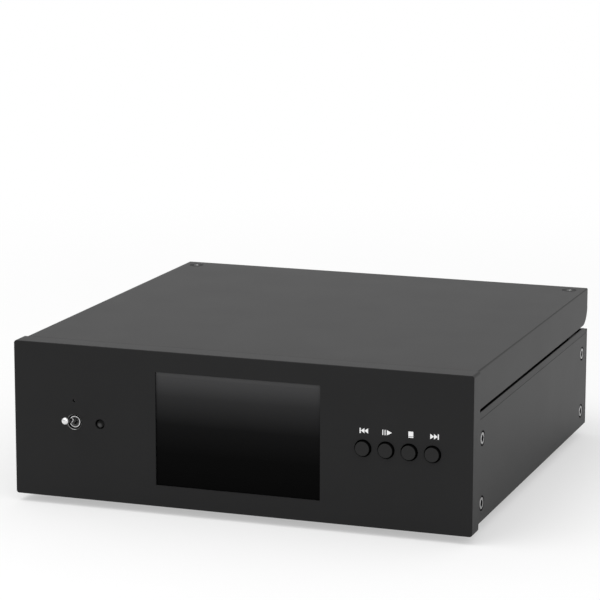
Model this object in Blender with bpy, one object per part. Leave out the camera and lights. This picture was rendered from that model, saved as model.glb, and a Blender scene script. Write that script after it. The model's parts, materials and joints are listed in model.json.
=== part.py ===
"""A compact top-loading disc player: black metal case, hinged lid, display, buttons and disc drive.

Metres, +Z up, front towards -Y. The origin is under the middle of the object, on the surface that
it stands on. Inside this script every y is a depth, measured backwards from the front panel's face.
"""
import math

import bmesh
import bpy
from mathutils import Matrix, Vector

# Clearances
GAP = 0.0003  # between pieces that touch or run in each other
OVERSHOOT = 0.0010  # how far a cutting shape passes a face
WELD = 0.000001

# Roundness, in sides of a full turn
SMALL_SIDES = 12
SIDES = 24
DISH_SIDES = 64
CORNER_STEPS = 4
SHARP_ANGLE = math.radians(35)

# Case
PANEL_WIDTH = 0.2060
PANEL_HEIGHT = 0.0680
PANEL_THICKNESS = 0.0100
PANEL_CORNER = 0.0012
PANEL_LIFT = 0.0035  # the panel's lower edge above the table
PANEL_OVERHANG = 0.00125  # the panel past the case on each side
CASE_RISE = 0.0018  # the underside of the case above the panel's lower edge
CASE_DEPTH = 0.2020
SHEET = 0.0020
BAR_WIDTH = 0.0080
BAR_DEPTH = 0.0120
BAR_LEDGE = 0.0060  # the step of a corner bar that carries the deck
FLANGE_DEPTH = 0.0140
WALL_SLANT_WIDTH = 0.00145  # of the slant along the top of a side wall
WALL_SLANT_HEIGHT = 0.0022
REAR_DROP = 0.0009  # the top of the rear panel below that of the side walls
FOOT_RADIUS = 0.0080
FOOT_CHAMFER = 0.0008
FOOT_SIDE_INSET = 0.02375  # foot axes from the sides of the tray
FOOT_INSET = 0.0280  # foot axes from the front and rear of the tray

# Screws
SCREW_RADIUS = 0.0015
SCREW_HEAD_RADIUS = 0.0030
SCREW_HEAD_RIM = 0.0003
SCREW_HEAD_HEIGHT = 0.0016
SCREW_SINK_GAP = 0.0004  # round the head
SCREW_SOCKET_RADIUS = 0.00115
SCREW_SOCKET_DEPTH = 0.0011
SIDE_SCREW_LENGTH = 0.0080
SIDE_SCREW_LOW = 0.0079  # above the underside of the case
SIDE_SCREW_HIGH = 0.0112  # below the top of the side wall
SIDE_SCREW_FRONT = 0.0083  # behind the front of the tray
SIDE_SCREW_REAR = 0.0098  # in front of the rear face
LID_SCREW_LENGTH = 0.0050
LID_SCREW_INSET = 0.0070  # from the side of the lid

# Lid and hinge
LID_DROP = 0.0003  # the lid's top below the panel's
LID_HEIGHT = 0.0169
LID_TOP = 0.0025
LID_SETBACK = 0.0004
LID_FRONT_GAP = 0.0005
LID_REAR_LIP = 0.0030  # the lid's rear wall below the hinge axis
SLIT = 0.0020  # between the lid and the side walls
PIN_RADIUS = 0.0020
EYE_RADIUS = 0.0045
BRACKET_WIDTH = 0.0050
BRACKET_STEM = 0.0040
HINGE_BLOCK_WIDTH = 0.0100

# Display
WINDOW_WIDTH = 0.0736
WINDOW_HEIGHT = 0.0492
GLASS_RECESS = 0.0008
GLASS_THICKNESS = 0.0022
MODULE_MARGIN = 0.0031  # the display module past the window on each side
MODULE_THICKNESS = 0.0060

# Buttons
BUTTON_NAMES = ("previous", "play_pause", "stop", "next")
BUTTON_INSET = 0.01731  # the last button from the right edge of the panel
BUTTON_PITCH = 0.01003
BUTTON_DROP = 0.0002  # below the middle of the panel
BUTTON_RADIUS = 0.00305
BUTTON_HOLE_RADIUS = 0.0037
BUTTON_PROUD = 0.0014
BUTTON_CHAMFER = 0.0003
BUTTON_LIP = 0.0040  # panel left in front of the buttons' pocket
BUTTON_FLANGE = 0.0008  # past the hole
BUTTON_FLANGE_THICKNESS = 0.0010
BUTTON_STEM_RADIUS = 0.0015
BUTTON_STEM = 0.0012
BUTTON_TRAVEL = 0.0008
SWITCH_SIZE = 0.0045
SWITCH_HEIGHT = 0.0010
BOARD_THICKNESS = 0.0014
BUTTON_BOARD_HEIGHT = 0.0150

# Toggle switch, power light and remote-control lens
TOGGLE_INSET = 0.0280  # from the left edge of the panel
TOGGLE_HOLE_RADIUS = 0.00385
BUSHING_RADIUS = 0.00275
BUSHING_BORE = 0.0020
BUSHING_RECESS = 0.0002
BUSHING_BORE_DEPTH = 0.0048
TOGGLE_BODY_WIDTH = 0.0080
TOGGLE_BODY_HEIGHT = 0.0130
TOGGLE_BODY_DEPTH = 0.0100
LEVER_PIVOT = 0.0027
LEVER_LENGTH = 0.0123
LEVER_TILT = math.radians(12.5)
LEVER_BALL = 0.0016
LEVER_SHAFT = 0.0009
LEVER_TIP = 0.00155
LIGHT_RISE = 0.0094  # above the toggle
LIGHT_HOLE_RADIUS = 0.0006
LIGHT_LIP = 0.0030
LIGHT_BODY_RADIUS = 0.0015
LIGHT_FLANGE = 0.0009
LIGHT_RECESS = 0.0006
LENS_DISTANCE = 0.0120  # to the right of the toggle
LENS_HOLE_RADIUS = 0.00215
LENS_RECESS = 0.0004
LENS_FLANGE = 0.0014
CLIP_THICKNESS = 0.0010  # flanges behind the panel

# Deck and disc
DECK_DROP = 0.0033  # below the top of the side walls
DECK_SHEET = 0.0020
DECK_FRONT_GAP = 0.0020
SPINDLE_DEPTH = 0.1080
DISC_RADIUS = 0.0600
DISC_THICKNESS = 0.0012
DISC_CLEARANCE = 0.0045
DISH_DEPTH = 0.0048
FINGER_RADIUS = 0.0110
HUB_CLEARANCE = 0.0020
UPSTAND_DISTANCE = 0.0007  # in front of the hinge brackets
UPSTAND_INSET = 0.0020

# Spindle
TABLE_RADIUS = 0.0150
TABLE_RISE = 0.0022  # above the floor of the dish
TABLE_THICKNESS = 0.0020
SPIGOT_RADIUS = 0.0074
SPIGOT_HEIGHT = 0.0026
SPIGOT_CHAMFER = 0.0006
SHAFT_RADIUS = 0.0015
SHAFT_CAP = 0.0015  # solid table above the shaft
PUCK_RADIUS = 0.0160
PUCK_HEIGHT = 0.0080
PUCK_CHAMFER = 0.0009
SPINDLE_MOTOR_RADIUS = 0.0120
SPINDLE_MOTOR_HEIGHT = 0.0092
MOTOR_FLOOR = 0.0010

# Drive base and its suspension
DAMPER_RADIUS = 0.0040
DAMPER_HEIGHT = 0.0116
DAMPER_X = 0.0420
DAMPER_SPREAD = 0.0430  # in front of and behind the spindle
BASE_SHEET = 0.0020
BASE_MARGIN = 0.0040

# Laser sled, rods and gears
ROD_RADIUS = 0.0015
ROD_SPREAD = 0.0210  # in front of and behind the spindle
ROD_RISE = 0.0070
POST_SIZE = 0.0050
POST_CAP = 0.0020
SLED_LENGTH = 0.0220
SLED_HEIGHT = 0.0070
SLED_MARGIN = 0.0030
SLED_CLEARANCE = 0.0010
SLED_TRAVEL = 0.0340
LENS_RADIUS = 0.0036
LENS_STEM_RADIUS = 0.0024
LENS_STEM_CLEARANCE = 0.0005
LENS_STEM = 0.0027
LENS_FOCUS = 0.0005  # travel each way
LENS_HEIGHT = 0.0037
LENS_EDGE = 0.0028
GEAR_MODULE = 0.0005
GEAR_PRESSURE = math.radians(25)
GEAR_ADDENDUM = 0.95  # in modules
GEAR_DEDENDUM = 1.35
GEAR_BACKLASH = 0.00012
FLANK_STEPS = 2
RACK_TEETH_ON_GEAR = 14
WHEEL_TEETH = 36
PINION_TEETH = 12
WHEEL_THICKNESS = 0.0024
RACK_HEIGHT = 0.0040
RACK_BACK = 0.0030
RACK_SPARE = 0.0030  # rack past the gear at each end of the travel
GEAR_AXIS_X = 0.0480
GEAR_PIN_RADIUS = 0.0012
PINION_SHAFT_RADIUS = 0.0010
SLED_MOTOR_RADIUS = 0.0075
SLED_MOTOR_LENGTH = 0.0100

# Main board
BOARD_WIDTH = 0.1600
BOARD_FRONT = 0.1500
BOARD_REAR_GAP = 0.0040
STANDOFF_HEIGHT = 0.0034
STANDOFF_RADIUS = 0.0030
STANDOFF_INSET = 0.0060

# Rear sockets
SOCKET_RISE = 0.0225  # above the underside of the case
SOCKET_REACH = 0.0090  # the longest socket past the rear face
SOCKET_FLANGE = 0.0020
SOCKET_BODY = 0.0120  # behind the rear panel's inner face
BALANCED_INSET = 0.03975  # from the left side of the case
BALANCED_WIDTH = 0.0260
BALANCED_HEIGHT = 0.0310
BALANCED_RADIUS = 0.0108
BALANCED_WALL = 0.0016
BALANCED_CAVITY = 0.0120
COAX_DISTANCE = 0.0340  # from the balanced socket
COAX_NUT_RADIUS = 0.0055
COAX_RADIUS = 0.00415
COAX_NECK = 0.0032
COAX_BORE = 0.0016
COAX_BORE_DEPTH = 0.0100
OPTICAL_DISTANCE = 0.0240  # from the coaxial socket
OPTICAL_SIZE = 0.0096
OPTICAL_WALL = 0.0011
OPTICAL_BRIM = 0.0018
OPTICAL_CAVITY = 0.0080
LINK_DISTANCE = 0.0280  # from the optical socket
LINK_WIDTH = 0.0160
LINK_HEIGHT = 0.0064
LINK_WALL = 0.0008
LINK_PROUD = 0.0012
LINK_CAVITY = 0.0090
LINK_BRIM = 0.0020
POWER_INSET = 0.02975  # from the right side of the case
POWER_FLANGE_RADIUS = 0.0060
POWER_RADIUS = 0.0045
POWER_BORE = 0.0032
POWER_PIN = 0.0010
POWER_PIN_SHORT = 0.0010
POWER_BORE_DEPTH = 0.0090

# Heights above the table
panel_top = PANEL_LIFT + PANEL_HEIGHT
panel_middle = PANEL_LIFT + PANEL_HEIGHT / 2
tray_bottom = PANEL_LIFT + CASE_RISE
tray_floor = tray_bottom + SHEET
lid_top = panel_top - LID_DROP
lid_ceiling = lid_top - LID_TOP
lid_bottom = lid_top - LID_HEIGHT
wall_top = lid_bottom - SLIT
deck_top = wall_top - DECK_DROP
deck_under = deck_top - DECK_SHEET
dish_floor = deck_top - DISH_DEPTH
dish_under = dish_floor - DECK_SHEET
table_top = dish_floor + TABLE_RISE
spigot_top = table_top + SPIGOT_HEIGHT
puck_bottom = table_top + DISC_THICKNESS + GAP
base_top = dish_under - DAMPER_HEIGHT - 2 * GAP
base_under = base_top - BASE_SHEET
rod_height = base_top + ROD_RISE
sled_bottom = rod_height - SLED_HEIGHT / 2
sled_top = rod_height + SLED_HEIGHT / 2
wheel_bottom = base_top + 2 * GAP
socket_height = tray_bottom + SOCKET_RISE

# Widths from the middle, and depths from the panel's face
case_half = PANEL_WIDTH / 2 - PANEL_OVERHANG
bay_half = case_half - SHEET
fit_half = bay_half - GAP
bar_inner = fit_half - BAR_WIDTH
case_front = PANEL_THICKNESS + GAP
bar_rear = case_front + BAR_DEPTH
rear_inner = CASE_DEPTH - SHEET
flange_face = CASE_DEPTH + GAP
lid_front = PANEL_THICKNESS + LID_FRONT_GAP
lid_rear = CASE_DEPTH - LID_SETBACK
lid_round = LID_HEIGHT / 2
hinge_depth = lid_rear - lid_round
hinge_height = lid_bottom + lid_round
stem_front = hinge_depth - EYE_RADIUS - BRACKET_STEM
block_outer = bay_half - GAP
block_inner = block_outer - HINGE_BLOCK_WIDTH
bracket_outer = block_inner - GAP
bracket_inner = bracket_outer - BRACKET_WIDTH
side_screw_depths = (case_front + SIDE_SCREW_FRONT, CASE_DEPTH - SIDE_SCREW_REAR)
side_screw_heights = (tray_bottom + SIDE_SCREW_LOW, wall_top - SIDE_SCREW_HIGH)
lid_screw_x = case_half - LID_SCREW_INSET
dish_radius = DISC_RADIUS + DISC_CLEARANCE
module_front = GLASS_RECESS + GLASS_THICKNESS + GAP
button_height = panel_middle - BUTTON_DROP
last_button_x = PANEL_WIDTH / 2 - BUTTON_INSET
button_xs = [last_button_x - BUTTON_PITCH * order for order in reversed(range(len(BUTTON_NAMES)))]
button_seat = BUTTON_LIP + GAP
button_end = button_seat + BUTTON_FLANGE_THICKNESS + BUTTON_STEM
switch_face = button_end + BUTTON_TRAVEL + GAP
button_board_front = switch_face + SWITCH_HEIGHT
light_height = panel_middle + LIGHT_RISE
toggle_x = TOGGLE_INSET - PANEL_WIDTH / 2
remote_lens_x = toggle_x + LENS_DISTANCE
foot_x = case_half - FOOT_SIDE_INSET
balanced_x = BALANCED_INSET - case_half
coax_x = balanced_x + COAX_DISTANCE
optical_x = coax_x + OPTICAL_DISTANCE
link_x = optical_x + LINK_DISTANCE
power_x = case_half - POWER_INSET

# The sled starts beside the spindle motor, and its rack reaches the gear over the whole travel.
sled_start = SPINDLE_MOTOR_RADIUS + SLED_CLEARANCE
sled_end = sled_start + SLED_LENGTH
lens_x = sled_start + SLED_LENGTH / 2
sled_half = ROD_SPREAD + SLED_MARGIN
gear_pitch = GEAR_MODULE * RACK_TEETH_ON_GEAR / 2
wheel_pitch = GEAR_MODULE * WHEEL_TEETH / 2
pinion_pitch = GEAR_MODULE * PINION_TEETH / 2
rack_pitch_depth = SPINDLE_DEPTH + sled_half + RACK_BACK
gear_depth = rack_pitch_depth + gear_pitch
pinion_x = GEAR_AXIS_X + wheel_pitch + pinion_pitch
post_start = sled_start - SLED_CLEARANCE - POST_SIZE
post_end = sled_end + SLED_TRAVEL + SLED_CLEARANCE
rack_bottom = wheel_bottom + WHEEL_THICKNESS + SLED_CLEARANCE

# The whole object is centred from the lever's tip to the end of the longest socket.
lever_reach = LEVER_LENGTH * math.cos(LEVER_TILT) - LEVER_PIVOT + LEVER_TIP
panel_y = -(CASE_DEPTH + SOCKET_REACH - lever_reach) / 2

AXES = "XYZ"
AXIS_TURNS = {
    "X": Matrix.Rotation(math.pi / 2, 4, "Y"),
    "Y": Matrix.Rotation(-math.pi / 2, 4, "X"),
    "Z": Matrix.Identity(4),
}


def finish(name, colour, roughness, metallic=0.0):
    """A plain material for one kind of surface."""
    material = bpy.data.materials.new(name)
    material.use_nodes = True
    shader = material.node_tree.nodes["Principled BSDF"]
    shader.inputs["Base Color"].default_value = (*colour, 1.0)
    shader.inputs["Roughness"].default_value = roughness
    shader.inputs["Metallic"].default_value = metallic
    material.diffuse_color = (*colour, 1.0)
    return material


def spot(axis, across, along):
    """A point from its place along one axis and its two other coordinates, in their own order."""
    place = list(across)
    place.insert(AXES.index(axis), along)
    return Vector(place)


def closed(shape):
    """Turns a bmesh into a mesh whose faces point outwards."""
    bmesh.ops.recalc_face_normals(shape, faces=shape.faces)
    mesh = bpy.data.meshes.new("shape")
    shape.to_mesh(mesh)
    shape.free()
    return mesh


def box(low, high):
    """A box between two opposite corners."""
    low = Vector(low)
    high = Vector(high)
    shape = bmesh.new()
    stretch = Matrix.Diagonal((*(high - low), 1))
    bmesh.ops.create_cube(shape, size=1, matrix=Matrix.Translation((low + high) / 2) @ stretch)
    return closed(shape)


def rod(axis, across, radius, start, end, sides=SIDES):
    """A round bar along an axis."""
    shape = bmesh.new()
    place = Matrix.Translation(spot(axis, across, (start + end) / 2))
    bmesh.ops.create_cone(
        shape,
        cap_ends=True,
        segments=sides,
        radius1=radius,
        radius2=radius,
        depth=abs(end - start),
        matrix=place @ AXIS_TURNS[axis],
    )
    return closed(shape)


def prism(axis, outline, start, end):
    """An outline extruded along an axis."""
    shape = bmesh.new()
    corners = [shape.verts.new(spot(axis, point, start)) for point in outline]
    face = shape.faces.new(corners)
    grown = bmesh.ops.extrude_face_region(shape, geom=[face])["geom"]
    moved = [item for item in grown if isinstance(item, bmesh.types.BMVert)]
    bmesh.ops.translate(shape, verts=moved, vec=spot(axis, (0, 0), end - start))
    return closed(shape)


def turned(axis, across, profile, sides=SIDES):
    """A profile of (radius, place along the axis) points, turned about an axis that it starts and ends on."""
    shape = bmesh.new()
    points = [shape.verts.new(spot(axis, (radius, 0), along)) for radius, along in profile]
    edges = [shape.edges.new(pair) for pair in zip(points, points[1:])]
    bmesh.ops.spin(
        shape,
        geom=points + edges,
        cent=(0, 0, 0),
        axis=spot(axis, (0, 0), 1),
        angle=2 * math.pi,
        steps=sides,
        use_merge=True,
    )
    bmesh.ops.remove_doubles(shape, verts=shape.verts, dist=WELD)
    bmesh.ops.translate(shape, verts=shape.verts, vec=spot(axis, across, 0))
    return closed(shape)


def arc(middle, radius, first, last, steps):
    """Points of a flat arc, from one angle in degrees to another."""
    points = []
    for step in range(steps + 1):
        angle = math.radians(first + (last - first) * step / steps)
        points.append((middle[0] + radius * math.cos(angle), middle[1] + radius * math.sin(angle)))
    return points


def rounded(low, high, radius):
    """The outline of a rectangle with round corners."""
    points = []
    corners = ((high[0], high[1], 0), (low[0], high[1], 90), (low[0], low[1], 180), (high[0], low[1], 270))
    for corner_x, corner_z, first in corners:
        middle_x = corner_x - math.copysign(radius, corner_x - (low[0] + high[0]) / 2)
        middle_z = corner_z - math.copysign(radius, corner_z - (low[1] + high[1]) / 2)
        points += arc((middle_x, middle_z), radius, first, first + 90, CORNER_STEPS)
    return points


def involute(angle):
    return math.tan(angle) - angle


def gear_outline(teeth, middle, tooth_angle):
    """The outline of a spur gear with one tooth pointing at tooth_angle."""
    pitch = GEAR_MODULE * teeth / 2
    base = pitch * math.cos(GEAR_PRESSURE)
    root = pitch - GEAR_DEDENDUM * GEAR_MODULE
    tip = pitch + GEAR_ADDENDUM * GEAR_MODULE
    flank_start = max(base, root)
    half_tooth = (math.pi * pitch / teeth - GEAR_BACKLASH) / (2 * pitch)
    flank = []
    for step in range(FLANK_STEPS + 1):
        radius = flank_start + (tip - flank_start) * step / FLANK_STEPS
        lean = half_tooth + involute(GEAR_PRESSURE) - involute(math.acos(min(1, base / radius)))
        flank.append((radius, lean))
    if root < base:
        flank.insert(0, (root, flank[0][1]))
    points = []
    for tooth in range(teeth):
        centre_line = tooth_angle + 2 * math.pi * tooth / teeth
        rising = [(radius, centre_line - lean) for radius, lean in flank]
        falling = [(radius, centre_line + lean) for radius, lean in reversed(flank)]
        for radius, angle in rising + falling:
            points.append((middle[0] + radius * math.cos(angle), middle[1] + radius * math.sin(angle)))
    return points


def rack_outline(start, end, gap_x, pitch_line, back):
    """A rack along X whose teeth point backwards, with a gap between teeth at gap_x."""
    pitch = math.pi * GEAR_MODULE
    tip = pitch_line + GEAR_ADDENDUM * GEAR_MODULE
    root = pitch_line - GEAR_DEDENDUM * GEAR_MODULE
    half_tooth = (pitch - 2 * GEAR_BACKLASH) / 4
    slope = math.tan(GEAR_PRESSURE)
    half_tip = half_tooth - slope * (tip - pitch_line)
    half_root = half_tooth + slope * (pitch_line - root)
    before = math.floor((gap_x - start) / pitch - 1)
    after = math.floor((end - gap_x) / pitch - 1)
    points = [(end, back), (start, back), (start, root)]
    for order in range(-before, after + 1):
        centre = gap_x + (order - 0.5) * pitch
        points.append((centre - half_root, root))
        points.append((centre - half_tip, tip))
        points.append((centre + half_tip, tip))
        points.append((centre + half_root, root))
    points.append((end, root))
    return points


def joined(meshes):
    """Several shapes that lie apart, as one mesh."""
    shape = bmesh.new()
    for mesh in meshes:
        shape.from_mesh(mesh)
    return closed(shape)


def combine(mesh, other, operation):
    """One exact Boolean of two meshes."""
    body = bpy.data.objects.new("body", mesh)
    tool = bpy.data.objects.new("tool", other)
    bpy.context.collection.objects.link(body)
    bpy.context.collection.objects.link(tool)
    modifier = body.modifiers.new("combine", "BOOLEAN")
    modifier.solver = "EXACT"
    modifier.operation = operation
    modifier.object = tool
    graph = bpy.context.evaluated_depsgraph_get()
    result = bpy.data.meshes.new_from_object(body.evaluated_get(graph))
    bpy.data.objects.remove(body)
    bpy.data.objects.remove(tool)
    return result


def cut(mesh, *tools):
    for tool in tools:
        mesh = combine(mesh, tool, "DIFFERENCE")
    return mesh


def fused(mesh, *others):
    for other in others:
        mesh = combine(mesh, other, "UNION")
    return mesh


def carrier(name, place, parent=None):
    """An empty that carries pieces, on the axis that they move on."""
    empty = bpy.data.objects.new(name, None)
    bpy.context.collection.objects.link(empty)
    empty.parent = parent
    empty.location = place
    return empty


def piece(name, mesh, material, carried_by, place=(0, 0, 0), turn=(0, 0, 0)):
    """A named piece, placed in the frame of what carries it."""
    mesh.name = name
    mesh.materials.clear()
    mesh.materials.append(material)
    mesh.shade_smooth()
    mesh.set_sharp_from_angle(angle=SHARP_ANGLE)
    item = bpy.data.objects.new(name, mesh)
    bpy.context.collection.objects.link(item)
    item.parent = carried_by
    item.location = place
    item.rotation_euler = turn


def moving(name, mesh, material, axis_empty):
    """A piece modelled in place, whose origin moves onto its axis."""
    mesh.transform(Matrix.Translation(-axis_empty.location))
    piece(name, mesh, material, axis_empty)


def side_name(side):
    return "right" if side > 0 else "left"


def screw_hole(axis, across, face, outward):
    """A countersunk hole through one sheet, open on its outer face."""
    head = SCREW_HEAD_RADIUS + SCREW_SINK_GAP
    shank = SCREW_RADIUS + GAP
    depth = max(SHEET, LID_TOP) + OVERSHOOT
    profile = [
        (0, face + outward * OVERSHOOT),
        (head, face + outward * OVERSHOOT),
        (head, face - outward * SCREW_HEAD_RIM),
        (shank, face - outward * (SCREW_HEAD_HEIGHT + GAP)),
        (shank, face - outward * depth),
        (0, face - outward * depth),
    ]
    return turned(axis, across, profile, SMALL_SIDES)


def screw(length):
    """A countersunk screw along Z, its head's face at 0 and its shank below, with a hexagon socket."""
    profile = [
        (0, 0),
        (SCREW_HEAD_RADIUS, 0),
        (SCREW_HEAD_RADIUS, -SCREW_HEAD_RIM),
        (SCREW_RADIUS, -SCREW_HEAD_HEIGHT),
        (SCREW_RADIUS, -length),
        (0, -length),
    ]
    socket = rod("Z", (0, 0), SCREW_SOCKET_RADIUS, -SCREW_SOCKET_DEPTH, OVERSHOOT, 6)
    return cut(turned("Z", (0, 0), profile, SMALL_SIDES), socket)


def build_front_panel(player):
    low = (-PANEL_WIDTH / 2, PANEL_LIFT)
    high = (PANEL_WIDTH / 2, panel_top)
    slab = prism("Y", rounded(low, high, PANEL_CORNER), 0, PANEL_THICKNESS)
    past_back = PANEL_THICKNESS + OVERSHOOT
    seat = GLASS_RECESS + GLASS_THICKNESS
    half_width = WINDOW_WIDTH / 2
    half_height = WINDOW_HEIGHT / 2
    window = box(
        (-half_width, -OVERSHOOT, panel_middle - half_height),
        (half_width, past_back, panel_middle + half_height),
    )
    half_width += MODULE_MARGIN + GAP
    half_height += MODULE_MARGIN + GAP
    module_pocket = box(
        (-half_width, seat, panel_middle - half_height),
        (half_width, past_back, panel_middle + half_height),
    )
    left, right, bottom, top = button_pocket()
    pocket = box((left, BUTTON_LIP, bottom), (right, past_back, top))
    holes = [rod("Y", (x, button_height), BUTTON_HOLE_RADIUS, -OVERSHOOT, past_back) for x in button_xs]
    holes.append(rod("Y", (toggle_x, panel_middle), TOGGLE_HOLE_RADIUS, -OVERSHOOT, past_back))
    holes.append(rod("Y", (remote_lens_x, panel_middle), LENS_HOLE_RADIUS, -OVERSHOOT, past_back))
    light = (toggle_x, light_height)
    holes.append(rod("Y", light, LIGHT_HOLE_RADIUS, -OVERSHOOT, past_back, SMALL_SIDES))
    light_well = rod("Y", light, LIGHT_BODY_RADIUS + GAP, LIGHT_LIP, past_back, SMALL_SIDES)
    panel = cut(slab, window, module_pocket, pocket, joined(holes), light_well)
    piece("front_panel", panel, black_metal, player)


def button_pocket():
    """The pocket behind the buttons: left, right, bottom and top."""
    margin = BUTTON_HOLE_RADIUS + BUTTON_FLANGE + 2 * GAP
    half_height = BUTTON_BOARD_HEIGHT / 2 + GAP
    return (
        button_xs[0] - margin,
        button_xs[-1] + margin,
        button_height - half_height,
        button_height + half_height,
    )


def build_display(player):
    half_width = WINDOW_WIDTH / 2 - GAP
    half_height = WINDOW_HEIGHT / 2 - GAP
    pane = box(
        (-half_width, GLASS_RECESS, panel_middle - half_height),
        (half_width, GLASS_RECESS + GLASS_THICKNESS, panel_middle + half_height),
    )
    piece("display_glass", pane, dark_glass, player)
    half_width = WINDOW_WIDTH / 2 + MODULE_MARGIN
    half_height = WINDOW_HEIGHT / 2 + MODULE_MARGIN
    module = box(
        (-half_width, module_front, panel_middle - half_height),
        (half_width, module_front + MODULE_THICKNESS, panel_middle + half_height),
    )
    piece("display_module", module, black_plastic, player)


def build_buttons(player):
    flange_radius = BUTTON_HOLE_RADIUS + BUTTON_FLANGE
    flange_back = button_seat + BUTTON_FLANGE_THICKNESS
    profile = [
        (0, -BUTTON_PROUD),
        (BUTTON_RADIUS - BUTTON_CHAMFER, -BUTTON_PROUD),
        (BUTTON_RADIUS, -BUTTON_PROUD + BUTTON_CHAMFER),
        (BUTTON_RADIUS, button_seat),
        (flange_radius, button_seat),
        (flange_radius, flange_back),
        (BUTTON_STEM_RADIUS, flange_back),
        (BUTTON_STEM_RADIUS, button_end),
        (0, button_end),
    ]
    switches = []
    for name, x in zip(BUTTON_NAMES, button_xs):
        axis = carrier(name + "_axis", (x, 0, button_height), player)
        piece("button_" + name, turned("Y", (0, 0), profile), black_plastic, axis)
        half = SWITCH_SIZE / 2
        switches.append(
            box(
                (x - half, switch_face, button_height - half),
                (x + half, button_board_front + BOARD_THICKNESS / 2, button_height + half),
            )
        )
    left, right, bottom, top = button_pocket()
    board = box(
        (left + GAP, button_board_front, bottom + GAP),
        (right - GAP, button_board_front + BOARD_THICKNESS, top - GAP),
    )
    piece("button_board", fused(board, joined(switches)), green_board, player)


def build_toggle(player):
    half_width = TOGGLE_BODY_WIDTH / 2
    half_height = TOGGLE_BODY_HEIGHT / 2
    centre = (toggle_x, panel_middle)
    body = box(
        (toggle_x - half_width, case_front, panel_middle - half_height),
        (toggle_x + half_width, case_front + TOGGLE_BODY_DEPTH, panel_middle + half_height),
    )
    bushing = rod("Y", centre, BUSHING_RADIUS, BUSHING_RECESS, case_front + TOGGLE_BODY_DEPTH / 2)
    bore = rod("Y", centre, BUSHING_BORE, -OVERSHOOT, BUSHING_BORE_DEPTH)
    piece("toggle_switch", cut(fused(body, bushing), bore), chrome, player)
    neck_at_ball = -math.degrees(math.acos(LEVER_SHAFT / LEVER_BALL))
    neck_at_tip = math.degrees(math.acos(LEVER_SHAFT / LEVER_TIP))
    profile = arc((0, 0), LEVER_BALL, 90, neck_at_ball, 2 * CORNER_STEPS)
    profile += arc((0, -LEVER_LENGTH), LEVER_TIP, neck_at_tip, -90, 2 * CORNER_STEPS)
    axis = carrier("toggle_axis", (toggle_x, LEVER_PIVOT, panel_middle), player)
    lever = turned("Y", (0, 0), profile, SMALL_SIDES)
    piece("toggle_lever", lever, chrome, axis, turn=(-LEVER_TILT, 0, 0))


def build_light_and_lens(player):
    clip_back = case_front + CLIP_THICKNESS
    pipe_radius = LIGHT_HOLE_RADIUS - GAP
    pipe = [
        (0, LIGHT_RECESS),
        (pipe_radius, LIGHT_RECESS),
        (pipe_radius, LIGHT_LIP + GAP),
        (LIGHT_BODY_RADIUS, LIGHT_LIP + GAP),
        (LIGHT_BODY_RADIUS, case_front),
        (LIGHT_BODY_RADIUS + LIGHT_FLANGE, case_front),
        (LIGHT_BODY_RADIUS + LIGHT_FLANGE, clip_back),
        (0, clip_back),
    ]
    light = turned("Y", (toggle_x, light_height), pipe, SMALL_SIDES)
    piece("power_light", light, clear_plastic, player)
    radius = LENS_HOLE_RADIUS - GAP
    dome = arc((0, LENS_RECESS + radius), radius, -90, 0, CORNER_STEPS)
    dome += [
        (radius, case_front),
        (radius + LENS_FLANGE, case_front),
        (radius + LENS_FLANGE, clip_back),
        (0, clip_back),
    ]
    piece("remote_lens", turned("Y", (remote_lens_x, panel_middle), dome), dark_glass, player)


def build_tray(player):
    outline = [
        (-case_half, tray_bottom),
        (case_half, tray_bottom),
        (case_half, wall_top - WALL_SLANT_HEIGHT),
        (case_half - WALL_SLANT_WIDTH, wall_top),
        (bay_half, wall_top),
        (bay_half, tray_floor),
        (-bay_half, tray_floor),
        (-bay_half, wall_top),
        (WALL_SLANT_WIDTH - case_half, wall_top),
        (-case_half, wall_top - WALL_SLANT_HEIGHT),
    ]
    tray = prism("Y", outline, case_front, CASE_DEPTH)
    holes = []
    for side in (-1, 1):
        for depth in side_screw_depths:
            for height in side_screw_heights:
                holes.append(screw_hole("X", (depth, height), side * case_half, side))
    standoffs = []
    for x, depth in standoff_places():
        start = tray_floor - SHEET / 2
        top = tray_floor + STANDOFF_HEIGHT
        standoffs.append(rod("Z", (x, depth), STANDOFF_RADIUS, start, top, SMALL_SIDES))
    piece("chassis_tray", cut(fused(tray, joined(standoffs)), joined(holes)), black_metal, player)


def standoff_places():
    half = BOARD_WIDTH / 2 - STANDOFF_INSET
    rear = rear_inner - BOARD_REAR_GAP - STANDOFF_INSET
    return [(x, depth) for x in (-half, half) for depth in (BOARD_FRONT + STANDOFF_INSET, rear)]


def build_main_board(player):
    bottom = tray_floor + STANDOFF_HEIGHT + GAP
    board = box(
        (-BOARD_WIDTH / 2, BOARD_FRONT, bottom),
        (BOARD_WIDTH / 2, rear_inner - BOARD_REAR_GAP, bottom + BOARD_THICKNESS),
    )
    piece("main_board", board, green_board, player)


def build_side_screws(player):
    mesh = screw(SIDE_SCREW_LENGTH)
    for side in (-1, 1):
        for depth, end in zip(side_screw_depths, ("front", "rear")):
            for height, level in zip(side_screw_heights, ("low", "high")):
                name = "_".join(("side_screw", side_name(side), end, level))
                place = (side * case_half, depth, height)
                piece(name, mesh, bright_steel, player, place, (0, side * math.pi / 2, 0))


def build_corner_bars(player):
    deck_seat = deck_under - GAP
    outline = [
        (case_front, tray_floor + GAP),
        (bar_rear + BAR_LEDGE, tray_floor + GAP),
        (bar_rear + BAR_LEDGE, deck_seat),
        (bar_rear, deck_seat),
        (bar_rear, lid_ceiling - GAP),
        (case_front, lid_ceiling - GAP),
    ]
    for side in (-1, 1):
        bar = prism("X", outline, side * bar_inner, side * fit_half)
        holes = [cross_hole(side, side_screw_depths[0], height) for height in side_screw_heights]
        piece("corner_bar_" + side_name(side), cut(bar, joined(holes)), black_metal, player)


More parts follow.
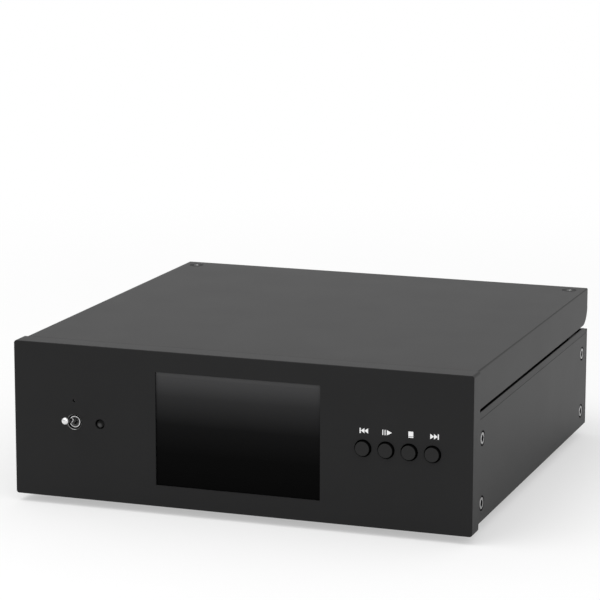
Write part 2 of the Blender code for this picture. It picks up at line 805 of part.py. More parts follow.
def cross_hole(side, depth, height):
    """A screw's hole through a corner bar or a flange."""
    start = side * (bar_inner - OVERSHOOT)
    return rod("X", (depth, height), SCREW_RADIUS + GAP, start, side * (fit_half + OVERSHOOT), SMALL_SIDES)


def build_rear_panel(player):
    bottom = tray_floor + GAP
    panel = box((-fit_half, rear_inner, bottom), (fit_half, CASE_DEPTH, wall_top - REAR_DROP))
    for side in (-1, 1):
        flange = box(
            (side * bar_inner, rear_inner - FLANGE_DEPTH, bottom),
            (side * fit_half, rear_inner + SHEET / 2, deck_under - GAP),
        )
        panel = fused(panel, flange)
        for height in side_screw_heights:
            panel = cut(panel, cross_hole(side, side_screw_depths[1], height))
    start = rear_inner - OVERSHOOT
    end = CASE_DEPTH + OVERSHOOT
    half_optical = OPTICAL_SIZE / 2 + GAP
    half_link_width = LINK_WIDTH / 2 + GAP
    half_link_height = LINK_HEIGHT / 2 + GAP
    holes = [
        rod("Y", (balanced_x, socket_height), BALANCED_RADIUS + GAP, start, end),
        rod("Y", (coax_x, socket_height), COAX_NECK + GAP, start, end),
        rod("Y", (power_x, socket_height), POWER_RADIUS + GAP, start, end),
        box(
            (optical_x - half_optical, start, socket_height - half_optical),
            (optical_x + half_optical, end, socket_height + half_optical),
        ),
        box(
            (link_x - half_link_width, start, socket_height - half_link_height),
            (link_x + half_link_width, end, socket_height + half_link_height),
        ),
    ]
    piece("rear_panel", cut(panel, joined(holes)), black_metal, player)


def build_feet(player):
    top = tray_bottom - GAP
    profile = [
        (0, 0),
        (FOOT_RADIUS - FOOT_CHAMFER, 0),
        (FOOT_RADIUS, FOOT_CHAMFER),
        (FOOT_RADIUS, top),
        (0, top),
    ]
    for side in (-1, 1):
        for end, depth in (("front", case_front + FOOT_INSET), ("rear", CASE_DEPTH - FOOT_INSET)):
            foot = turned("Z", (side * foot_x, depth), profile, SMALL_SIDES)
            piece("_".join(("foot", end, side_name(side))), foot, black_rubber, player)


def build_lid(player):
    hinge = carrier("lid_axis", (0, hinge_depth, hinge_height), player)
    outline = arc((hinge_depth, hinge_height), lid_round, -90, 0, 2 * CORNER_STEPS)
    outline += [(lid_rear, lid_top), (lid_front, lid_top), (lid_front, lid_bottom)]
    shell = prism("X", outline, -case_half, case_half)
    below = lid_bottom - OVERSHOOT
    inside = box((-bay_half, lid_front - OVERSHOOT, below), (bay_half, lid_rear - SHEET, lid_ceiling))
    rear_gap = box(
        (-bay_half, hinge_depth, below),
        (bay_half, lid_rear + OVERSHOOT, hinge_height - LID_REAR_LIP),
    )
    holes = [screw_hole("Z", (side * lid_screw_x, hinge_depth), lid_top, 1) for side in (-1, 1)]
    moving("lid", cut(shell, inside, rear_gap, joined(holes)), black_metal, hinge)
    screw_mesh = screw(LID_SCREW_LENGTH)
    block_top = lid_ceiling - GAP
    block_outline = arc((hinge_depth, hinge_height), EYE_RADIUS, 180, 360, 2 * CORNER_STEPS)
    block_outline += [(hinge_depth + EYE_RADIUS, block_top), (hinge_depth - EYE_RADIUS, block_top)]
    screw_end = lid_top - LID_SCREW_LENGTH - GAP
    eye_outline = arc((hinge_depth, hinge_height), EYE_RADIUS, -90, 90, 2 * CORNER_STEPS)
    eye_outline += [
        (stem_front, hinge_height + EYE_RADIUS),
        (stem_front, deck_top + GAP),
        (stem_front + BRACKET_STEM, deck_top + GAP),
        (stem_front + BRACKET_STEM, hinge_height - EYE_RADIUS),
    ]
    axis_place = (hinge_depth, hinge_height)
    for side in (-1, 1):
        end = "_" + side_name(side)
        pin_hole = rod(
            "X",
            axis_place,
            PIN_RADIUS + GAP,
            side * (bracket_inner - OVERSHOOT),
            side * (block_outer + OVERSHOOT),
        )
        block = prism("X", block_outline, side * block_inner, side * block_outer)
        screw_place = (side * lid_screw_x, hinge_depth)
        thread = rod("Z", screw_place, SCREW_RADIUS + GAP, screw_end, lid_top, SMALL_SIDES)
        moving("hinge_block" + end, cut(block, pin_hole, thread), black_metal, hinge)
        bracket = prism("X", eye_outline, side * bracket_inner, side * bracket_outer)
        piece("hinge_bracket" + end, cut(bracket, pin_hole), black_metal, player)
        pin = rod("X", axis_place, PIN_RADIUS, side * bracket_inner, side * (block_outer - GAP))
        piece("hinge_pin" + end, pin, bright_steel, player)
        place = (side * lid_screw_x, 0, lid_top - hinge_height)
        piece("lid_screw" + end, screw_mesh, bright_steel, hinge, place)


def build_deck(player):
    front = PANEL_THICKNESS + DECK_FRONT_GAP
    rear = rear_inner - GAP
    notch = bar_rear + GAP
    inner = bar_inner - GAP
    outline = [
        (-inner, front),
        (inner, front),
        (inner, notch),
        (fit_half, notch),
        (fit_half, rear),
        (-fit_half, rear),
        (-fit_half, notch),
        (-inner, notch),
    ]
    plate = prism("Z", outline, deck_under, deck_top)
    middle = (0, SPINDLE_DEPTH)
    rim = deck_top - DECK_SHEET / 2
    past_top = deck_top + OVERSHOOT
    past_floor = dish_under - OVERSHOOT
    bowl = rod("Z", middle, dish_radius + DECK_SHEET, dish_under, rim, DISH_SIDES)
    dish = rod("Z", middle, dish_radius, dish_floor, past_top, DISH_SIDES)
    grips = []
    grip_bowls = []
    for side in (-1, 1):
        place = (side * dish_radius, SPINDLE_DEPTH)
        grip_bowls.append(rod("Z", place, FINGER_RADIUS + DECK_SHEET, dish_under, rim))
        grips.append(rod("Z", place, FINGER_RADIUS, dish_floor, past_top))
    hub = rod("Z", middle, TABLE_RADIUS + HUB_CLEARANCE, past_floor, past_top, DISH_SIDES)
    half_slot = LENS_RADIUS + SLED_CLEARANCE
    slot_end = lens_x + SLED_TRAVEL + LENS_RADIUS + SLED_CLEARANCE
    slot = box(
        (0, SPINDLE_DEPTH - half_slot, past_floor),
        (slot_end, SPINDLE_DEPTH + half_slot, past_top),
    )
    upstand_back = stem_front - UPSTAND_DISTANCE
    upstand = box(
        (UPSTAND_INSET - fit_half, upstand_back - DECK_SHEET, rim),
        (fit_half - UPSTAND_INSET, upstand_back, hinge_height),
    )
    deck = fused(plate, bowl, joined(grip_bowls), upstand)
    piece("deck", cut(deck, dish, joined(grips), hub, slot), black_plastic, player)


def build_drive_base(player):
    front = SPINDLE_DEPTH - DAMPER_SPREAD - DAMPER_RADIUS - BASE_MARGIN
    rear = SPINDLE_DEPTH + DAMPER_SPREAD + DAMPER_RADIUS + BASE_MARGIN
    left = -DAMPER_X - DAMPER_RADIUS - BASE_MARGIN
    right = post_end + POST_SIZE + BASE_MARGIN
    base = box((left, front, base_under), (right, rear, base_top))
    inside = base_top - BASE_SHEET / 2
    rod_holes = []
    for side in (-1, 1):
        rod_depth = SPINDLE_DEPTH + side * ROD_SPREAD
        for start in (post_start, post_end):
            post = box(
                (start, rod_depth - POST_SIZE / 2, inside),
                (start + POST_SIZE, rod_depth + POST_SIZE / 2, rod_height + ROD_RADIUS + POST_CAP),
            )
            base = fused(base, post)
        across = (rod_depth, rod_height)
        start = post_start - OVERSHOOT
        end = post_end + POST_SIZE + OVERSHOOT
        rod_holes.append(rod("X", across, ROD_RADIUS + GAP, start, end, SMALL_SIDES))
        guide = rod("X", across, ROD_RADIUS, post_start, post_end + POST_SIZE, SMALL_SIDES)
        piece("guide_rod_" + ("rear" if side > 0 else "front"), guide, bright_steel, player)
    gear_place = (GEAR_AXIS_X, gear_depth)
    gear_pin = rod("Z", gear_place, GEAR_PIN_RADIUS, inside, rack_bottom + RACK_HEIGHT, SMALL_SIDES)
    shaft_place = (pinion_x, gear_depth)
    shaft_radius = PINION_SHAFT_RADIUS + GAP
    shaft_hole = rod("Z", shaft_place, shaft_radius, base_under - OVERSHOOT, base_top + OVERSHOOT)
    base = cut(fused(base, gear_pin), joined(rod_holes), shaft_hole)
    piece("drive_base", base, bright_steel, player)
    for side in (-1, 1):
        for end, way in (("front", -1), ("rear", 1)):
            place = (side * DAMPER_X, SPINDLE_DEPTH + way * DAMPER_SPREAD)
            start = base_top + GAP
            damper = rod("Z", place, DAMPER_RADIUS, start, start + DAMPER_HEIGHT, SMALL_SIDES)
            piece("_".join(("damper", end, side_name(side))), damper, black_rubber, player)


def build_spindle(player):
    middle = (0, SPINDLE_DEPTH)
    motor_bottom = base_top + GAP
    motor_top = motor_bottom + SPINDLE_MOTOR_HEIGHT
    shaft_bottom = motor_bottom + MOTOR_FLOOR + GAP
    shaft_top = spigot_top - SHAFT_CAP - GAP
    bore = SHAFT_RADIUS + GAP
    motor = [
        (0, motor_bottom + MOTOR_FLOOR),
        (bore, motor_bottom + MOTOR_FLOOR),
        (bore, motor_top),
        (SPINDLE_MOTOR_RADIUS, motor_top),
        (SPINDLE_MOTOR_RADIUS, motor_bottom),
        (0, motor_bottom),
    ]
    piece("spindle_motor", turned("Z", middle, motor), bright_steel, player)
    axis = carrier("spindle_axis", (0, SPINDLE_DEPTH, 0), player)
    shaft = rod("Z", middle, SHAFT_RADIUS, shaft_bottom, shaft_top, SMALL_SIDES)
    moving("spindle_shaft", shaft, bright_steel, axis)
    table_bottom = table_top - TABLE_THICKNESS
    table = [
        (0, spigot_top - SHAFT_CAP),
        (bore, spigot_top - SHAFT_CAP),
        (bore, table_bottom),
        (TABLE_RADIUS, table_bottom),
        (TABLE_RADIUS, table_top),
        (SPIGOT_RADIUS, table_top),
        (SPIGOT_RADIUS, spigot_top - SPIGOT_CHAMFER),
        (SPIGOT_RADIUS - SPIGOT_CHAMFER, spigot_top),
        (0, spigot_top),
    ]
    moving("turntable", turned("Z", middle, table), black_plastic, axis)
    puck_top = puck_bottom + PUCK_HEIGHT
    recess = SPIGOT_RADIUS + GAP
    puck = [
        (0, spigot_top + GAP),
        (recess, spigot_top + GAP),
        (recess, puck_bottom),
        (PUCK_RADIUS, puck_bottom),
        (PUCK_RADIUS, puck_top - PUCK_CHAMFER),
        (PUCK_RADIUS - PUCK_CHAMFER, puck_top),
        (0, puck_top),
    ]
    moving("disc_puck", turned("Z", middle, puck), bright_steel, axis)


def build_sled(player):
    axis = carrier("sled_axis", (lens_x, SPINDLE_DEPTH, rod_height), player)
    body = box(
        (sled_start, SPINDLE_DEPTH - sled_half, sled_bottom),
        (sled_end, SPINDLE_DEPTH + sled_half, sled_top),
    )
    rack_start = GEAR_AXIS_X - SLED_TRAVEL - RACK_SPARE
    rack_end = GEAR_AXIS_X + RACK_SPARE
    back = SPINDLE_DEPTH + sled_half - GAP
    outline = rack_outline(rack_start, rack_end, GEAR_AXIS_X, rack_pitch_depth, back)
    rack = prism("Z", outline, rack_bottom, rack_bottom + RACK_HEIGHT)
    bores = []
    for side in (-1, 1):
        across = (SPINDLE_DEPTH + side * ROD_SPREAD, rod_height)
        start = sled_start - OVERSHOOT
        bores.append(rod("X", across, ROD_RADIUS + GAP, start, sled_end + OVERSHOOT, SMALL_SIDES))
    lens_place = (lens_x, SPINDLE_DEPTH)
    lens_bottom = sled_top + LENS_FOCUS + GAP
    stem_bottom = lens_bottom - LENS_STEM
    well_radius = LENS_STEM_RADIUS + LENS_STEM_CLEARANCE
    well_floor = stem_bottom - LENS_FOCUS - GAP
    well = rod("Z", lens_place, well_radius, well_floor, sled_top + OVERSHOOT)
    moving("laser_sled", cut(fused(body, rack), joined(bores), well), black_plastic, axis)
    lens_edge = lens_bottom + LENS_EDGE
    lens = [
        (0, stem_bottom),
        (LENS_STEM_RADIUS, stem_bottom),
        (LENS_STEM_RADIUS, lens_bottom),
        (LENS_RADIUS, lens_bottom),
        (LENS_RADIUS, lens_edge),
        (LENS_STEM_RADIUS, lens_edge),
        (LENS_STEM_RADIUS / 2, lens_bottom + (LENS_EDGE + LENS_HEIGHT * 2) / 3),
        (0, lens_bottom + LENS_HEIGHT),
    ]
    moving("objective_lens", turned("Z", lens_place, lens), clear_plastic, axis)


def build_gears(player):
    gear_place = (GEAR_AXIS_X, gear_depth)
    wheel_top = wheel_bottom + WHEEL_THICKNESS
    wheel = prism("Z", gear_outline(WHEEL_TEETH, gear_place, 0), wheel_bottom, wheel_top)
    small = gear_outline(RACK_TEETH_ON_GEAR, gear_place, -math.pi / 2)
    gear = prism("Z", small, wheel_bottom + WHEEL_THICKNESS / 2, rack_bottom + RACK_HEIGHT)
    bore = rod(
        "Z",
        gear_place,
        GEAR_PIN_RADIUS + GAP,
        wheel_bottom - OVERSHOOT,
        rack_bottom + RACK_HEIGHT + OVERSHOOT,
        SMALL_SIDES,
    )
    gear_axis = carrier("gear_axis", (*gear_place, 0), player)
    moving("drive_gear", cut(fused(wheel, gear), bore), white_plastic, gear_axis)
    pinion_place = (pinion_x, gear_depth)
    gap_to_tooth = math.pi / PINION_TEETH
    teeth = gear_outline(PINION_TEETH, pinion_place, math.pi + gap_to_tooth)
    pinion = prism("Z", teeth, wheel_bottom, wheel_top)
    motor_top = base_under - GAP
    motor_bottom = motor_top - SLED_MOTOR_LENGTH
    shaft_bottom = motor_bottom + MOTOR_FLOOR + GAP
    middle = (wheel_bottom + wheel_top) / 2
    shaft = rod("Z", pinion_place, PINION_SHAFT_RADIUS, shaft_bottom, middle, SMALL_SIDES)
    pinion_axis = carrier("pinion_axis", (*pinion_place, 0), player)
    moving("motor_pinion", fused(pinion, shaft), brass, pinion_axis)
    shaft_bore = PINION_SHAFT_RADIUS + GAP
    motor = [
        (0, motor_bottom + MOTOR_FLOOR),
        (shaft_bore, motor_bottom + MOTOR_FLOOR),
        (shaft_bore, motor_top),
        (SLED_MOTOR_RADIUS, motor_top),
        (SLED_MOTOR_RADIUS, motor_bottom),
        (0, motor_bottom),
    ]
    piece("sled_motor", turned("Z", pinion_place, motor), bright_steel, player)


def build_round_sockets(player):
    end = CASE_DEPTH + SOCKET_REACH
    body = rear_inner - SOCKET_BODY
    flange_back = flange_face + SOCKET_FLANGE
    coax = [
        (0, end - COAX_BORE_DEPTH),
        (COAX_BORE, end - COAX_BORE_DEPTH),
        (COAX_BORE, end),
        (COAX_RADIUS, end),
        (COAX_RADIUS, flange_back),
        (COAX_NUT_RADIUS, flange_back),
        (COAX_NUT_RADIUS, flange_face),
        (COAX_NECK, flange_face),
        (COAX_NECK, body),
        (0, body),
    ]
    piece("coaxial_socket", turned("Y", (coax_x, socket_height), coax), brass, player)
    floor = flange_back - POWER_BORE_DEPTH
    power = [
        (0, flange_back - POWER_PIN_SHORT),
        (POWER_PIN, flange_back - POWER_PIN_SHORT),
        (POWER_PIN, floor),
        (POWER_BORE, floor),
        (POWER_BORE, flange_back),
        (POWER_FLANGE_RADIUS, flange_back),
        (POWER_FLANGE_RADIUS, flange_face),
        (POWER_RADIUS, flange_face),
        (POWER_RADIUS, body),
        (0, body),
    ]
    piece("power_inlet", turned("Y", (power_x, socket_height), power), black_plastic, player)


def build_square_sockets(player):
    body = rear_inner - SOCKET_BODY
    flange_back = flange_face + SOCKET_FLANGE
    half_width = BALANCED_WIDTH / 2
    half_height = BALANCED_HEIGHT / 2
    place = (balanced_x, socket_height)
    flange = box(
        (balanced_x - half_width, flange_face, socket_height - half_height),
        (balanced_x + half_width, flange_back, socket_height + half_height),
    )
    barrel = rod("Y", place, BALANCED_RADIUS, body, flange_face + SOCKET_FLANGE / 2)
    cavity_floor = flange_back - BALANCED_CAVITY
    cavity = rod("Y", place, BALANCED_RADIUS - BALANCED_WALL, cavity_floor, flange_back + OVERSHOOT)
    piece("balanced_socket", cut(fused(flange, barrel), cavity), black_metal, player)

    half = OPTICAL_SIZE / 2
    brim = half + OPTICAL_BRIM
    inner = half - OPTICAL_WALL
    shell = box(
        (optical_x - half, body, socket_height - half),
        (optical_x + half, flange_face + SOCKET_FLANGE / 2, socket_height + half),
    )
    flange = box(
        (optical_x - brim, flange_face, socket_height - brim),
        (optical_x + brim, flange_back, socket_height + brim),
    )
    cavity = box(
        (optical_x - inner, flange_back - OPTICAL_CAVITY, socket_height - inner),
        (optical_x + inner, flange_back + OVERSHOOT, socket_height + inner),
    )
    piece("optical_socket", cut(fused(flange, shell), cavity), black_plastic, player)

    half_width = LINK_WIDTH / 2
    half_height = LINK_HEIGHT / 2
    mouth = CASE_DEPTH + LINK_PROUD
    shell = box(
        (link_x - half_width, body, socket_height - half_height),
        (link_x + half_width, mouth, socket_height + half_height),
    )
    brim = box(
        (link_x - half_width - LINK_BRIM, body + LINK_BRIM, socket_height - half_height - LINK_BRIM),
        (link_x + half_width + LINK_BRIM, rear_inner - GAP, socket_height + half_height + LINK_BRIM),
    )
    cavity = box(
        (link_x - half_width + LINK_WALL, mouth - LINK_CAVITY, socket_height - half_height + LINK_WALL),
        (link_x + half_width - LINK_WALL, mouth + OVERSHOOT, socket_height + half_height - LINK_WALL),
    )
    piece("link_socket", cut(fused(shell, brim), cavity), bright_steel, player)


for old in list(bpy.data.objects):
    bpy.data.objects.remove(old)

black_metal = finish("black_anodised_metal", (0.022, 0.022, 0.023), 0.42, 0.6)
black_plastic = finish("black_plastic", (0.018, 0.018, 0.018), 0.45)
black_rubber = finish("black_rubber", (0.015, 0.015, 0.015), 0.8)
dark_glass = finish("dark_glass", (0.008, 0.008, 0.009), 0.08)
clear_plastic = finish("clear_plastic", (0.55, 0.60, 0.68), 0.15)
chrome = finish("chrome", (0.75, 0.75, 0.76), 0.12, 1.0)
bright_steel = finish("bright_steel", (0.50, 0.50, 0.51), 0.3, 1.0)
brass = finish("brass", (0.70, 0.53, 0.26), 0.25, 1.0)
white_plastic = finish("white_plastic", (0.75, 0.74, 0.70), 0.4)
green_board = finish("green_board", (0.02, 0.10, 0.05), 0.5)

whole = carrier("player", (0, panel_y, 0))
build_front_panel(whole)
build_display(whole)
build_buttons(whole)
build_toggle(whole)
build_light_and_lens(whole)
build_tray(whole)
build_main_board(whole)
build_side_screws(whole)
build_corner_bars(whole)
build_rear_panel(whole)
build_feet(whole)
build_lid(whole)
build_deck(whole)
build_drive_base(whole)
build_spindle(whole)
build_sled(whole)
build_gears(whole)
build_round_sockets(whole)
build_square_sockets(whole)
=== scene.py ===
"""How a compact top-loading disc player looks: black case, display, chrome switch, disc bay and sockets.

Meshes are modelled in millimetres, in the frame of the solids, and become metres as they are placed.
"""
import json
import math

import bmesh
import bpy
from mathutils import Matrix, Vector


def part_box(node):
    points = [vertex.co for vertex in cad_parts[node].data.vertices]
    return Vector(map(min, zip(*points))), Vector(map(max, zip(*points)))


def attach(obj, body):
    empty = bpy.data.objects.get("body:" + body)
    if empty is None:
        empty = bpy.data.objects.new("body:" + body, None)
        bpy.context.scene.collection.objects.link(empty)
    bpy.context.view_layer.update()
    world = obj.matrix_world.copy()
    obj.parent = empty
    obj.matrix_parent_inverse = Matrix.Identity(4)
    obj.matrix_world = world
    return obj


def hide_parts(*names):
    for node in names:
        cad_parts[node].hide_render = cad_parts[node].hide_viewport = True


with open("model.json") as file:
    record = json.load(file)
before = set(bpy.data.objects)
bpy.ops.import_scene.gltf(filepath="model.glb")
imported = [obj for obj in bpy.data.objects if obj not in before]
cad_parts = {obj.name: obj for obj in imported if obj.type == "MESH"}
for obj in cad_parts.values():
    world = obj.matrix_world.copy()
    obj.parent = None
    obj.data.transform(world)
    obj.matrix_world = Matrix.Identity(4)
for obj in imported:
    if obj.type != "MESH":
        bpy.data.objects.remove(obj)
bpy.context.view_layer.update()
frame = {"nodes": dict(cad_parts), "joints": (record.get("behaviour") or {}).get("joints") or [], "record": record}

MILLIMETRE = 0.001
WELD = 0.0005
FIT = 0.3  # between pieces that touch
CLOSE_FIT = 0.04  # round pieces let into the panel
PLAY = 0.05  # between small pieces and what they stand on or in
SIDES = 48  # of a full turn
FEW_SIDES = 24  # of a small one
HEXAGON = 6
ARC_STEPS = 10
SHARP_EDGE = math.radians(50)
SMOOTH_EDGE = math.radians(32)
FLAT = math.radians(1)

# Case
PANEL_CORNER = 1.2
PANEL_EDGE = 0.45
HOLE_EDGE = 0.08
WINDOW_EDGE = 0.06
SHEET = 2.0
SHEET_EDGE = 0.4
LID_EDGE = 0.75
PLATE_EDGE = 0.15
CASE_EDGE = 0.3
REAR_FLANGE = 8.0
REAR_FLANGE_DROP = 4.7  # below the plate's top
SINK_RADIUS = 3.3  # round a screw's head
RAIL_HEIGHT = 2.35  # along the top of a side wall
RAIL_RISE = 0.45  # above it
RAIL_SLANT = 0.24  # of its outer face, inwards
RAIL_SEAM = 0.14  # over the wall
RAIL_FOOT = 1.4  # thickness of the strip that it stands on
RAIL_TOP = 0.5  # that stays level
RAIL_TAIL = 4.0  # that falls to the rear plate's top
LID_ARC_STEPS = 26
LID_REAR_STEPS = 6  # steps of that arc that the rear wall covers

# Front panel
WINDOW_CORNER = 0.4
WINDOW_LEFT = 0.42  # past the glass, over its fit
WINDOW_TOP = 0.34
MODULE_EDGE = 0.5
BUTTON_HOLE = 3.7
BUTTON_LIP = 4.0
# deeper than this behind a button's face, shade is painted on the cap
BUTTON_FACE_DEPTH = 0.1
BUTTON_CAP = 3.12
BUTTON_DISH = 0.08
BUTTON_FLANGE = 1.0
BUTTON_STEM = 1.5
TOGGLE_HOLE = 3.45
LENS_HOLE = 2.15
LENS_RISE = 0.5
# the remote lens's painted highlight: its place and its radius
PAINTED_HIGHLIGHT = (-0.3, -0.65)  # from the lens's centre
PAINTED_HIGHLIGHT_RADIUS = 1.35
LIGHT_HOLE = 0.6
LIGHT_DEPTH = 0.7
LIGHT_LIP = 3.0
LIGHT_WELL = 1.8

# Toggle switch
BUSHING_RADIUS = 2.52
BUSHING_BORE = 2.14
BUSHING_SINK = 0.7  # behind the panel's face
BUSHING_BORE_DEPTH = 4.8
BUSHING_BACK = 0.5  # behind the panel's seat
THREAD_TURNS = 7
THREAD_DEPTH = 0.25
THREAD_START = 0.8  # behind the bushing's mouth
THREAD_END = 0.4  # before the panel's seat
TOGGLE_BODY_GAP = 0.1
TOGGLE_BODY_EDGE = 0.4
TOGGLE_RIM_WALL = 0.2
TOGGLE_RIM_BACK = 0.9
SEAL_GAP = 0.5  # round the lever's neck
SEAL_PLAY = 0.02  # in the bushing's bore
SEAL_BACK = 1.4
LEVER_LENGTH = 11.8
LEVER_TILT = math.radians(12.5)
LEVER_BALL = 1.3
LEVER_NECK = 0.9
LEVER_TIP = 1.78
LEVER_TIP_START = math.radians(25)
LEVER_STEPS = 12

# Transport signs, printed on the panel above their buttons
SIGN_RISE = 7.52
SIGN_HEIGHT = 2.25
SIGN_PRINT = 0.03
SIGN_BAR = 0.5
SIGN_ARROW = 1.6
SIGN_PLAY = 2.2
SIGN_PLAY_WIDTH = 4.15
SIGN_PAUSE = 0.4
SIGN_PAUSE_STEP = 0.98
SIGN_STOP = (2.1, 2.0)
SIGN_STOP_GAP = 0.2
SIGN_STOP_LINE = 0.42
SIGN_SHIFTS = {"previous": 0.4, "play_pause": 0.46, "stop": 0.65, "next": 0.8}  # past the button's axis

# Screws
SIDE_BOLT = (2.65, 2.4, 1.65, 0.04)  # head, its flat face, its socket and the socket's lead-in
LID_BOLT = (3.2, 3.05, 0.8, 0.4)
SMALL_BOLT = (2.1, 1.8, 1.0, 0.04)
SMALL_BOLT_LENGTH = 4.0
SMALL_BOLT_INSET = 4.0  # from the edges of the rear panel and the main board
SCREW_RIM = 0.4
SCREW_CONE = 1.6
SCREW_SHANK = 1.5
SCREW_POINT = 0.3
SCREW_SOCKET_ROOM = 1.1  # round the socket's corners
SCREW_SOCKET_DEPTH = 1.1
# deeper than this below a side bolt's face, the socket's shade is painted dark
SCREW_FACE_DEPTH = 0.15  # that still has the face's tone
DECK_BOLT_SPREAD = 80.0  # from the spindle, to each side
DECK_BOLTS = {"front": -76.0, "rear": 60.0}  # from the spindle, along the deck

# Feet and dampers
FOOT_RECESS = 2.6
FOOT_RECESS_DEPTH = 1.6
FOOT_NECK = 0.4  # less than the foot's radius
DAMPER_EDGE = 0.5
DAMPER_WAIST = 1.2  # less than the damper's radius

# Disc bay
DECK_TOP = 49.0  # above the floor
DECK_EDGE = 0.4
RING_PITCH = 2.5
RING_START = 24.0
RING_END = 60.0
DULL_EDGE = 14.0  # along the deck's rear
METAL_EDGE = 0.2
SLED_EDGE = 0.12
TOOTH_EDGE = 0.06
BOARD_EDGE = 0.15

# Turntable and puck
TABLE_THICKNESS = 2.0
TABLE_EDGE = 0.3
SHAFT_BORE = 1.8
SHAFT_BORE_END = 1.5  # below the spigot's top
SPIGOT_RADIUS = 7.4
SPIGOT_DIMPLE = 2.0
SPIGOT_DIMPLE_DEPTH = 0.25
GRIP_START = 1.2  # in from the table's edge
GRIP_END = 4.2
GRIP_DEPTH = 0.35
GRIP_PLAY = 0.1
PUCK_GROOVES = 5
PUCK_GROOVE_DEPTH = 0.28
PUCK_LOWER_BAND = 1.0  # below the grooves
PUCK_UPPER_BAND = 1.6
PUCK_EDGE = 0.9
PUCK_DISH = 9.0
PUCK_DISH_DEPTH = 0.5

# Objective lens
OBJECTIVE_STEM = 2.4
OBJECTIVE_STEM_HEIGHT = 2.7
OBJECTIVE_RING_HEIGHT = 2.8
OBJECTIVE_SEAT = 2.5
OBJECTIVE_GLASS = 2.25

# Sockets: radii, or half widths where a form isn't round
SOCKET_EDGE = 0.2
BALANCED_NECK = 10.8
BALANCED_BORE = 9.2
BALANCED_DEPTH = 12.0
BALANCED_CORNER = 2.2
BALANCED_EDGE = 0.25
BALANCED_PIN = 1.2
BALANCED_PIN_CIRCLE = 3.9
BALANCED_PIN_ANGLES = (90, 210, 330)
BALANCED_PIN_END = 1.65  # inside the mouth
BALANCED_BOLT = 1.45
BALANCED_BOLT_HOLE = 1.7
BALANCED_BOLT_PLACE = (9.6, 12.1)  # from the socket's axis, at two opposite corners
COAXIAL_NECK = 3.2
COAXIAL_SLEEVE = 4.15
COAXIAL_BORE = 3.35
COAXIAL_DEPTH = 6.0
COAXIAL_CORE = 1.6
COAXIAL_NUT = 5.5
COAXIAL_NUT_HEIGHT = 2.0
OPTICAL_NECK = 4.8
OPTICAL_MOUTH = 3.7
OPTICAL_DEPTH = 8.0
OPTICAL_CORNER = 1.0
OPTICAL_MOUTH_CORNER = 0.9
SHUTTER_PLAY = 0.15
SHUTTER_SINK = 0.7
SHUTTER_THICKNESS = 0.8
SHUTTER_CORNER = 0.8
SHUTTER_EDGE = 0.12
SHUTTER_DIMPLE = 1.6
SHUTTER_DIMPLE_DEPTH = 0.3
SHUTTER_DIMPLE_CORNER = 0.5
LINK_NECK = (8.0, 3.2)  # and half its height
LINK_DEPTH = 9.0
LINK_TONGUE = 5.6
LINK_CONTACTS = 10
LINK_CONTACT = 0.22
LINK_CONTACT_PITCH = 1.0
POWER_NECK = 4.5
POWER_BORE = 3.2
POWER_DEPTH = 9.0
POWER_PIN = 1.0
POWER_PIN_END = 1.0  # inside the mouth

# Floor and lamps
FLOOR_GLOW = 0.44  # share of its own light near the player
FLOOR_NEAR = 200.0  # where that share starts to grow
FLOOR_FAR = 800.0  # where it is whole
FLOOR_HALF = 9000.0
FLOOR_DROP = 0.05  # below the feet
WORLD_LEVEL = 0.78
LAMPS = (  # name, place, aim and size in metres, and power
    ("overhead", (-0.5, -0.65, 1.5), (0.0, 0.0, 0.0), 1.2, 10.5),
    ("fill", (0.9, -1.0, 0.9), (0.1, 0.0, 0.0), 1.0, 3.0),
)

# Camera, from the middle of the panel's lower edge
CAMERA_AZIMUTH = math.radians(19.451)
CAMERA_ELEVATION = math.radians(11.273)
CAMERA_ROLL = math.radians(0.112)
CAMERA_AIM = Vector((27.862, 0.0, 94.5))
CAMERA_DISTANCE = 1117.5
CAMERA_LENS = 162.28

AXES = "XYZ"
TURNS = {
    "X": Matrix(((0, 0, 1, 0), (1, 0, 0, 0), (0, 1, 0, 0), (0, 0, 0, 1))),
    "Y": Matrix.Rotation(math.pi / 2, 4, "X"),
    "Z": Matrix.Identity(4),
}
FACINGS = {
    "up": Matrix.Identity(4),
    "down": Matrix.Rotation(math.pi, 4, "X"),
    "rear": Matrix.Rotation(-math.pi / 2, 4, "X"),
    "left": Matrix.Rotation(-math.pi / 2, 4, "Y"),
    "right": Matrix.Rotation(math.pi / 2, 4, "Y"),
}
BUTTON_NAMES = ("previous", "play_pause", "stop", "next")
SIDE_NAMES = {-1: "left", 1: "right"}
END_NAMES = ("front", "rear")
LEVEL_NAMES = ("low", "high")


class Wire:
    """A value that runs between a finish's nodes. Arithmetic on it adds Math nodes."""

    def __init__(self, finish, socket):
        self.finish = finish
        self.socket = socket

    def math(self, operation, *values):
        return self.finish.node("ShaderNodeMath", {"operation": operation}, dict(enumerate(values)))

    def __add__(self, other):
        return self.math("ADD", self, other)

    def __sub__(self, other):
        return self.math("SUBTRACT", self, other)

    def __rsub__(self, other):
        return self.math("SUBTRACT", other, self)

    def __mul__(self, other):
        return self.math("MULTIPLY", self, other)

    def __truediv__(self, other):
        return self.math("DIVIDE", self, other)

    def __lt__(self, other):
        return self.math("LESS_THAN", self, other)

    def __gt__(self, other):
        return self.math("GREATER_THAN", self, other)

    def __abs__(self):
        return self.math("ABSOLUTE", self)

    def root(self):
        return self.math("SQRT", self)

    def sine(self):
        return self.math("SINE", self)

    __radd__ = __add__
    __rmul__ = __mul__


